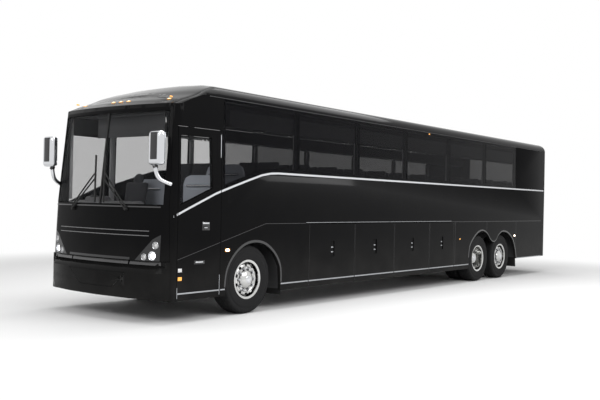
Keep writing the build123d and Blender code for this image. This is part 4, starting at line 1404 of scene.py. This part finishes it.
shape = spun([(-0.110, 0.036), (0.000, 0.036), (0.0015, 0.0375), (0.000, 0.039), (-0.110, 0.039)], 40)
shape.transform(Matrix.Translation((-0.905, at(13.890), 0.395)) @ BACKWARD)
add_piece("tailpipe", shape, "body", "chrome")

# %% [markdown]
# ## Roof hatches
# Each escape hatch is a shallow lid hinged on its front edge. A rubber edge and four ribs are laid on it.

# %% Roof hatches
HATCHES = {"front": 3.600, "rear": 10.300}
HATCH_EDGE = 0.323


def on_roof(x, y, lift):
    """Lays (x, station) on the crowned roof."""
    share = min(1.0, abs(x) / CROWN_HALF)
    return Vector((x, at(y), ROOF_TOP - CROWN_DROP * share ** 2 + lift))


for name, station in HATCHES.items():
    outline = rect(-HATCH_EDGE, HATCH_EDGE, station - HATCH_EDGE, station + HATCH_EDGE)
    shape = seal(outline, 0.016, on_roof, 0.0035, 0.006, 4)
    for x in (-0.18, -0.06, 0.06, 0.18):
        rounded_plate(shape, rect(x - 0.012, x + 0.012, station - 0.24, station + 0.24), on_roof, 0.0035, 0.006)
    add_piece(f"hatch_edge_{name}", shape, f"roof_hatch_{name}", "trim_plastic", rubber)

# %% [markdown]
# ## Passenger seats
# A coach seat is two foam pads in woven cloth: a low crowned cushion and a tall back with a headrest roll.
# Each pad starts as a cube that is bevelled and subdivided, then its top is crowned, its sides pull in
# between the corners, and two sewn channels are pressed along it. The same two pads are stamped 56 times.

# %% A padded form
def crown_at(a, b):
    """Height share of a pad's crown: full in the middle and nothing at its edges."""
    return max(0.0, 1 - a * a) * max(0.0, 1 - b * b)


def pad(size, crown, channels=(), pull=0.006, rounding=0.030, cuts=9, roll=0.0, segments=3):
    """A cushion about the origin whose top is +Z: crowned, pulled in at its sides, with sewn channels."""
    half = Vector(size) / 2
    shape = bar(size, rounding, segments)
    bmesh.ops.subdivide_edges(shape, edges=shape.edges, cuts=1, use_grid_fill=True)
    long_edges = [edge for edge in shape.edges if edge.calc_length() > min(size[:2]) * 0.2]
    bmesh.ops.subdivide_edges(shape, edges=long_edges, cuts=cuts, use_grid_fill=True)
    for vert in shape.verts:
        a, b = vert.co.x / half.x, vert.co.y / half.y
        top = max(0.0, vert.co.z / half.z)
        swell = crown_at(a, b)
        sewn = sum(exp(-((vert.co.x - place) / 0.007) ** 2) for place in channels)
        vert.co.z += top * (crown * swell ** 0.5 - 0.007 * sewn * swell ** 0.3)
        vert.co.z += top * roll * exp(-((vert.co.y / half.y - 0.74) / 0.16) ** 2) * (1 - a ** 4)
        level = 1 - (vert.co.z / (half.z + crown)) ** 2
        vert.co.x -= pull * a * (1 - b * b) * level
        vert.co.y -= pull * b * (1 - a * a) * level
    bmesh.ops.smooth_vert(shape, verts=shape.verts, factor=0.4, use_axis_x=True, use_axis_y=True, use_axis_z=True)
    return shape


DECK = 1.300
SEAT_ROWS = [2.100 + 0.810 * row for row in range(14)]
SEAT_MIDDLES = (0.5425, 0.9775)
SEAT_WIDTH = 0.420
BACK_LEAN = radians(12.5)
seat_places = [(sign * x, station) for sign in SIDES.values() for x in SEAT_MIDDLES for station in SEAT_ROWS]
cushions, backs = bmesh.new(), bmesh.new()
stamp(cushions, pad((SEAT_WIDTH, 0.425, 0.075), 0.014, (-0.105, 0.105), cuts=4, segments=2),
      [Matrix.Translation((x, at(station + 0.210), DECK + 0.447)) for x, station in seat_places])
lean = Matrix.Rotation(-BACK_LEAN, 4, "X") @ Matrix.Rotation(pi / 2, 4, "X")
stamp(backs, pad((SEAT_WIDTH, 0.665, 0.068), 0.012, (-0.105, 0.105), cuts=4, roll=0.016, segments=2),
      [Matrix.Translation((x, at(station + 0.527), DECK + 0.745)) @ lean for x, station in seat_places])
cushions = add_piece("seat_cushions", cushions, "body", "seat_fabric", sharp=60)
backs = add_piece("seat_backs", backs, "body", "seat_fabric", sharp=60)

# %% Seat frames
frames = bmesh.new()
for sign in SIDES.values():
    for station in SEAT_ROWS:
        spans = [((0.345, 1.175), (0.080, 0.460), (0.374, 0.404)), ((0.705, 0.775), (0.160, 0.290), (0.045, 0.376)),
                 ((0.680, 0.800), (0.130, 0.320), (0.041, 0.053)), ((0.332, 0.352), (0.180, 0.520), (0.590, 0.622)),
                 ((0.334, 0.350), (0.460, 0.500), (0.380, 0.600))]
        for (x_low, x_high), along, up in spans:
            x = sorted((sign * x_low, sign * x_high))
            bar_between(frames, x, (station + along[0], station + along[1]), (DECK + up[0], DECK + up[1]), 0.006, 1)
frames = add_piece("seat_frames", frames, "body", "trim_plastic")
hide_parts("passenger_seats")

# %% [markdown]
# ## Driver's place
# Through the windscreen show the driver's high-backed seat with its round headrest, a large thin steering
# wheel and a wide dashboard. The wheel is a spun ring with three spokes, tilted towards the driver, and the
# dashboard is a long side profile pulled across the cab and rounded.

# %% Driver's seat
CAB_SEAT_X = -0.680
shape = pad((0.500, 0.480, 0.095), 0.014, (-0.13, 0.13), rounding=0.036)
shape.transform(Matrix.Translation((CAB_SEAT_X, at(1.060), 1.388)) @ Matrix.Rotation(radians(3), 4, "X"))
driver_cushion = add_piece("driver_cushion", shape, "body", "seat_fabric", sharp=60)
shape = pad((0.480, 0.590, 0.090), 0.012, (-0.12, 0.12), rounding=0.040)
shape.transform(Matrix.Translation((CAB_SEAT_X, at(1.322), 1.700)) @ Matrix.Rotation(radians(-8.5), 4, "X")
                @ Matrix.Rotation(pi / 2, 4, "X"))
driver_back = add_piece("driver_seat_back", shape, "body", "seat_fabric", sharp=60)
shape = bmesh.new()
bmesh.ops.create_uvsphere(shape, u_segments=32, v_segments=16, radius=1.0)
bmesh.ops.scale(shape, vec=(0.118, 0.042, 0.098), verts=shape.verts)
for vert in shape.verts:
    vert.co.z *= 1 - 0.14 * (vert.co.x / 0.118) ** 2
shape.transform(Matrix.Translation((CAB_SEAT_X, at(1.385), 2.036)) @ Matrix.Rotation(radians(-8.5), 4, "X"))
headrest = add_piece("driver_headrest", shape, "body", "seat_fabric", sharp=60)
shape = spun([(0.0, 0.0), (0.0, 0.150), (0.030, 0.150), (0.060, 0.118), (0.100, 0.145), (0.140, 0.118), (0.180, 0.145),
              (0.220, 0.118), (0.260, 0.145), (0.300, 0.120), (0.330, 0.200), (0.390, 0.205), (0.395, 0.0)], 40)
shape.transform(Matrix.Translation((CAB_SEAT_X, at(1.080), 0.942)) @ Matrix.Rotation(-pi / 2, 4, "Y"))
for sign in (-1, 1):
    x = sorted((CAB_SEAT_X + sign * 0.252, CAB_SEAT_X + sign * 0.218))
    bar_between(shape, x, (1.000, 1.300), (1.560, 1.595), 0.012, 3)
    bar_between(shape, (CAB_SEAT_X + sign * 0.05 - 0.006, CAB_SEAT_X + sign * 0.05 + 0.006), (1.372, 1.386),
                (1.930, 2.010), 0.004, 2)
add_piece("driver_seat_base", shape, "body", "trim_plastic")

# %% Steering wheel
WHEEL_TILT = radians(-28)
ring = bmesh.new()
bmesh.ops.create_circle(ring, segments=12, radius=0.0135, matrix=Matrix.Translation((0.218, 0, 0))
                        @ Matrix.Rotation(pi / 2, 4, "X"))
bmesh.ops.spin(ring, geom=ring.verts[:] + ring.edges[:], cent=(0, 0, 0), axis=(0, 0, 1), angle=2 * pi, steps=56,
               use_merge=True)
bmesh.ops.recalc_face_normals(ring, faces=ring.faces)
for angle in (90, 210, 330):
    stamp(ring, bar((0.150, 0.036, 0.012), 0.005, 2), [Matrix.Rotation(radians(angle), 4, "Z")
                                                       @ Matrix.Translation((0.138, 0, -0.010))])
upward = Matrix.Rotation(-pi / 2, 4, "Y")
stamp(ring, spun([(-0.030, 0.0), (-0.030, 0.062), (0.000, 0.070), (0.012, 0.058), (0.016, 0.030), (0.016, 0.0)], 32),
      [upward])
stamp(ring, spun([(-0.330, 0.0), (-0.330, 0.046), (-0.060, 0.034), (-0.028, 0.040), (-0.026, 0.0)], 24), [upward])
ring.transform(Matrix.Translation((CAB_SEAT_X, at(0.690), 1.650)) @ Matrix.Rotation(WHEEL_TILT, 4, "X"))
add_piece("steering_wheel", ring, "body", "trim_plastic")

# %% Dashboard
def pulled_across(profile, low, high, edge):
    """A side profile of (station, height) pulled across the cab from low to high X, with round edges."""
    shape = sheet_from(profile)
    made = bmesh.ops.extrude_face_region(shape, geom=shape.faces[:])
    for vert in shape.verts:
        vert.co = Vector((high if vert in made["geom"] else low, at(vert.co.x), vert.co.y))
    bmesh.ops.recalc_face_normals(shape, faces=shape.faces)
    round_edges(shape, edge, 4)
    return shape


DASH_PROFILE = [(0.345, 1.250), (0.540, 1.250), (0.690, 1.480), (0.680, 1.620), (0.580, 1.690), (0.345, 1.655)]
HOOD_PROFILE = [(0.450, 1.640), (0.690, 1.600), (0.685, 1.700), (0.620, 1.755), (0.500, 1.740)]
shape = pulled_across(DASH_PROFILE, -1.130, 0.340, 0.022)
stamp(shape, pulled_across(HOOD_PROFILE, -0.895, -0.465, 0.024))
for x in (-0.36, -0.22, -0.08, 0.06, 0.20):
    vent = spun([(-0.006, 0.0), (-0.006, 0.030), (0.010, 0.034), (0.012, 0.028), (0.004, 0.026), (0.004, 0.0)], 28)
    stamp(shape, vent, [Matrix.Translation((x, at(0.520), 1.676)) @ upward])
dash = add_piece("dashboard", shape, "body", "trim_plastic", finish("grey_dash", (0.17, 0.17, 0.175), 0.55,
                                                                    bump=0.4, scale=600))
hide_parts("driver_station")

# %% Instrument dials
shape = bmesh.new()
for x in (-0.780, -0.680, -0.580):
    dial = spun([(0.0, 0.0), (0.0, 0.040), (0.006, 0.043), (0.008, 0.040), (0.002, 0.036), (0.002, 0.0)], 28)
    stamp(shape, dial, [Matrix.Translation((x, at(0.6900), 1.650)) @ Matrix.Rotation(radians(8), 4, "X")
                        @ Matrix.Rotation(pi / 2, 4, "Z")])
add_piece("instrument_dials", shape, "body", "trim_plastic", satin)

# %% [markdown]
# ## Cabin lining
# The ceiling is a dark panel that follows the roof a little lower, with a header box over the windscreen
# and a black sun blind below it. Linings cover the pillars, and small reading lamps shine under the
# parcel racks, which is what shows through the dark side glass.

# %% Ceiling and header
CEILING = (0.560, 13.500)


def under_roof(x, y, lift):
    """Lays (x, station) on the ceiling, which follows the crown of the roof below it."""
    return Vector((x, at(y), min(3.340 - 0.170 * (abs(x) / 1.100) ** 3, brow_height(y, x) - 0.075) + lift))


flat = sheet_from(rect(-1.090, 1.090, *CEILING))
bmesh.ops.subdivide_edges(flat, edges=flat.edges, cuts=15, use_grid_fill=True)
for vert in flat.verts:
    if vert.co.y < 1.2:
        vert.co.y = max(vert.co.y, 0.900)
shape = thicken(flat, under_roof, 0.0, 0.012)
add_piece("ceiling_panel", shape, "body", "trim_plastic", cabin_dark)
shape = bmesh.new()
bar_between(shape, (-1.120, 1.120), (0.500, 0.930), (2.970, 2.995), 0.010, 3)
bar_between(shape, (-1.100, 1.100), (0.920, 0.945), (2.980, 3.200), 0.008, 2)
for x in (-0.55, 0.0, 0.55):
    bar_between(shape, (x - 0.19, x + 0.19), (0.915, 0.950), (3.020, 3.130), 0.012, 3)
bar_between(shape, (-1.090, 1.090), (0.370, 0.400), (2.955, 2.985), 0.008, 2)
add_piece("header_panel", shape, "body", "trim_plastic", rubber)

# %% Sun blind
shape = bmesh.new()
bar_between(shape, (-0.540, 0.950), (0.440, 0.452), (2.640, 2.950), 0.005, 2)
roller = spun([(-0.760, 0.0), (-0.760, 0.024), (0.760, 0.024), (0.760, 0.0)], 24)
stamp(shape, roller, [Matrix.Translation((0.205, at(0.446), 2.952))])
bar_between(shape, (-0.545, 0.955), (0.436, 0.456), (2.628, 2.648), 0.006, 2)
add_piece("sun_blind", shape, "body", "trim_plastic")

# %% Pillar linings
shape = bmesh.new()
for sign in SIDES.values():
    x = sorted((sign * 1.150, sign * 1.205))
    bar_between(shape, x, (0.420, 0.446), (1.700, 2.960), 0.009, 2)
for station in (1.262, 3.077, 4.857, 6.566, 8.385, 10.169, 11.908):
    for sign in SIDES.values():
        x = sorted((sign * 1.196, sign * 1.222))
        if sign < 0 or station > 1.3:
            bar_between(shape, x, (station - 0.050, station + 0.050), (1.420, 2.820), 0.008, 2)
add_piece("pillar_linings", shape, "body", "trim_plastic", cabin_light)

# %% [markdown]
# ## Modesty panels
# A pale screen stands in front of the first seats on each side and behind the steps, with a handrail on it.
# Each is a flat outline with a rounded top, given thickness and wide soft edges. The rail is a spun pipe.

# %% Modesty panels
def screen_outline(low, high, bottom, top, radius=0.14):
    """A panel's outline with its two upper corners cut back."""
    return [(low, bottom), (high, bottom), (high, top - radius), (high - radius * 0.3, top - radius * 0.3),
            (high - radius, top), (low + radius, top), (low + radius * 0.3, top - radius * 0.3), (low, top - radius)]


PANELS = [(0.360, 1.170, 1.890, 1.345, 2.290), (-1.170, -0.360, 1.700, 1.345, 2.050),
          (0.440, 1.170, 1.320, 1.345, 2.100)]
panels, rails = bmesh.new(), bmesh.new()
for low, high, station, bottom, top in PANELS:
    flat = sheet_from(screen_outline(low, high, bottom, top))
    shape = thicken(flat, lambda x, z, lift, station=station: Vector((x, at(station - lift), z)), 0.018, 0.036)
    round_edges(shape, 0.014, 4)
    stamp(panels, shape)
    reach = (high - low) / 2 - 0.10
    pipe = spun([(-reach, 0.0), (-reach, 0.014), (reach, 0.014), (reach, 0.0)], 20)
    stamp(rails, pipe, [Matrix.Translation(((low + high) / 2, at(station - 0.045), top - 0.16))])
    for x in (low + 0.16, high - 0.16):
        foot = spun([(0.0, 0.0), (0.0, 0.016), (0.030, 0.010), (0.034, 0.0)], 20)
        stamp(rails, foot, [Matrix.Translation((x, at(station - 0.016), top - 0.16))
                            @ Matrix.Rotation(-pi / 2, 4, "Z")])
add_piece("modesty_panels", panels, "body", "trim_plastic", finish("pale_blue_grey_panel", (0.66, 0.70, 0.78), 0.6,
                                                                   bump=0.3, scale=300))
add_piece("modesty_rails", rails, "body", "chrome")

# %% Reading lamps
shape, rims = bmesh.new(), bmesh.new()
RIM = [(0.0, 0.020), (0.0, 0.028), (0.007, 0.026), (0.008, 0.021)]
for sign in SIDES.values():
    for station in SEAT_ROWS:
        for x in (0.960, 1.060):
            place = Matrix.Translation((sign * x, at(station + 0.30), 2.829)) @ Matrix.Rotation(pi / 2, 4, "Y")
            stamp(rims, spun(RIM, 20), [place])
            stamp(shape, spun([(0.001, 0.0), (0.001, 0.020), (0.006, 0.016), (0.008, 0.0)], 20), [place])
add_piece("reading_lamps", shape, "body", "lamp", reading_white)
add_piece("reading_lamp_rims", rims, "body", "trim_plastic")
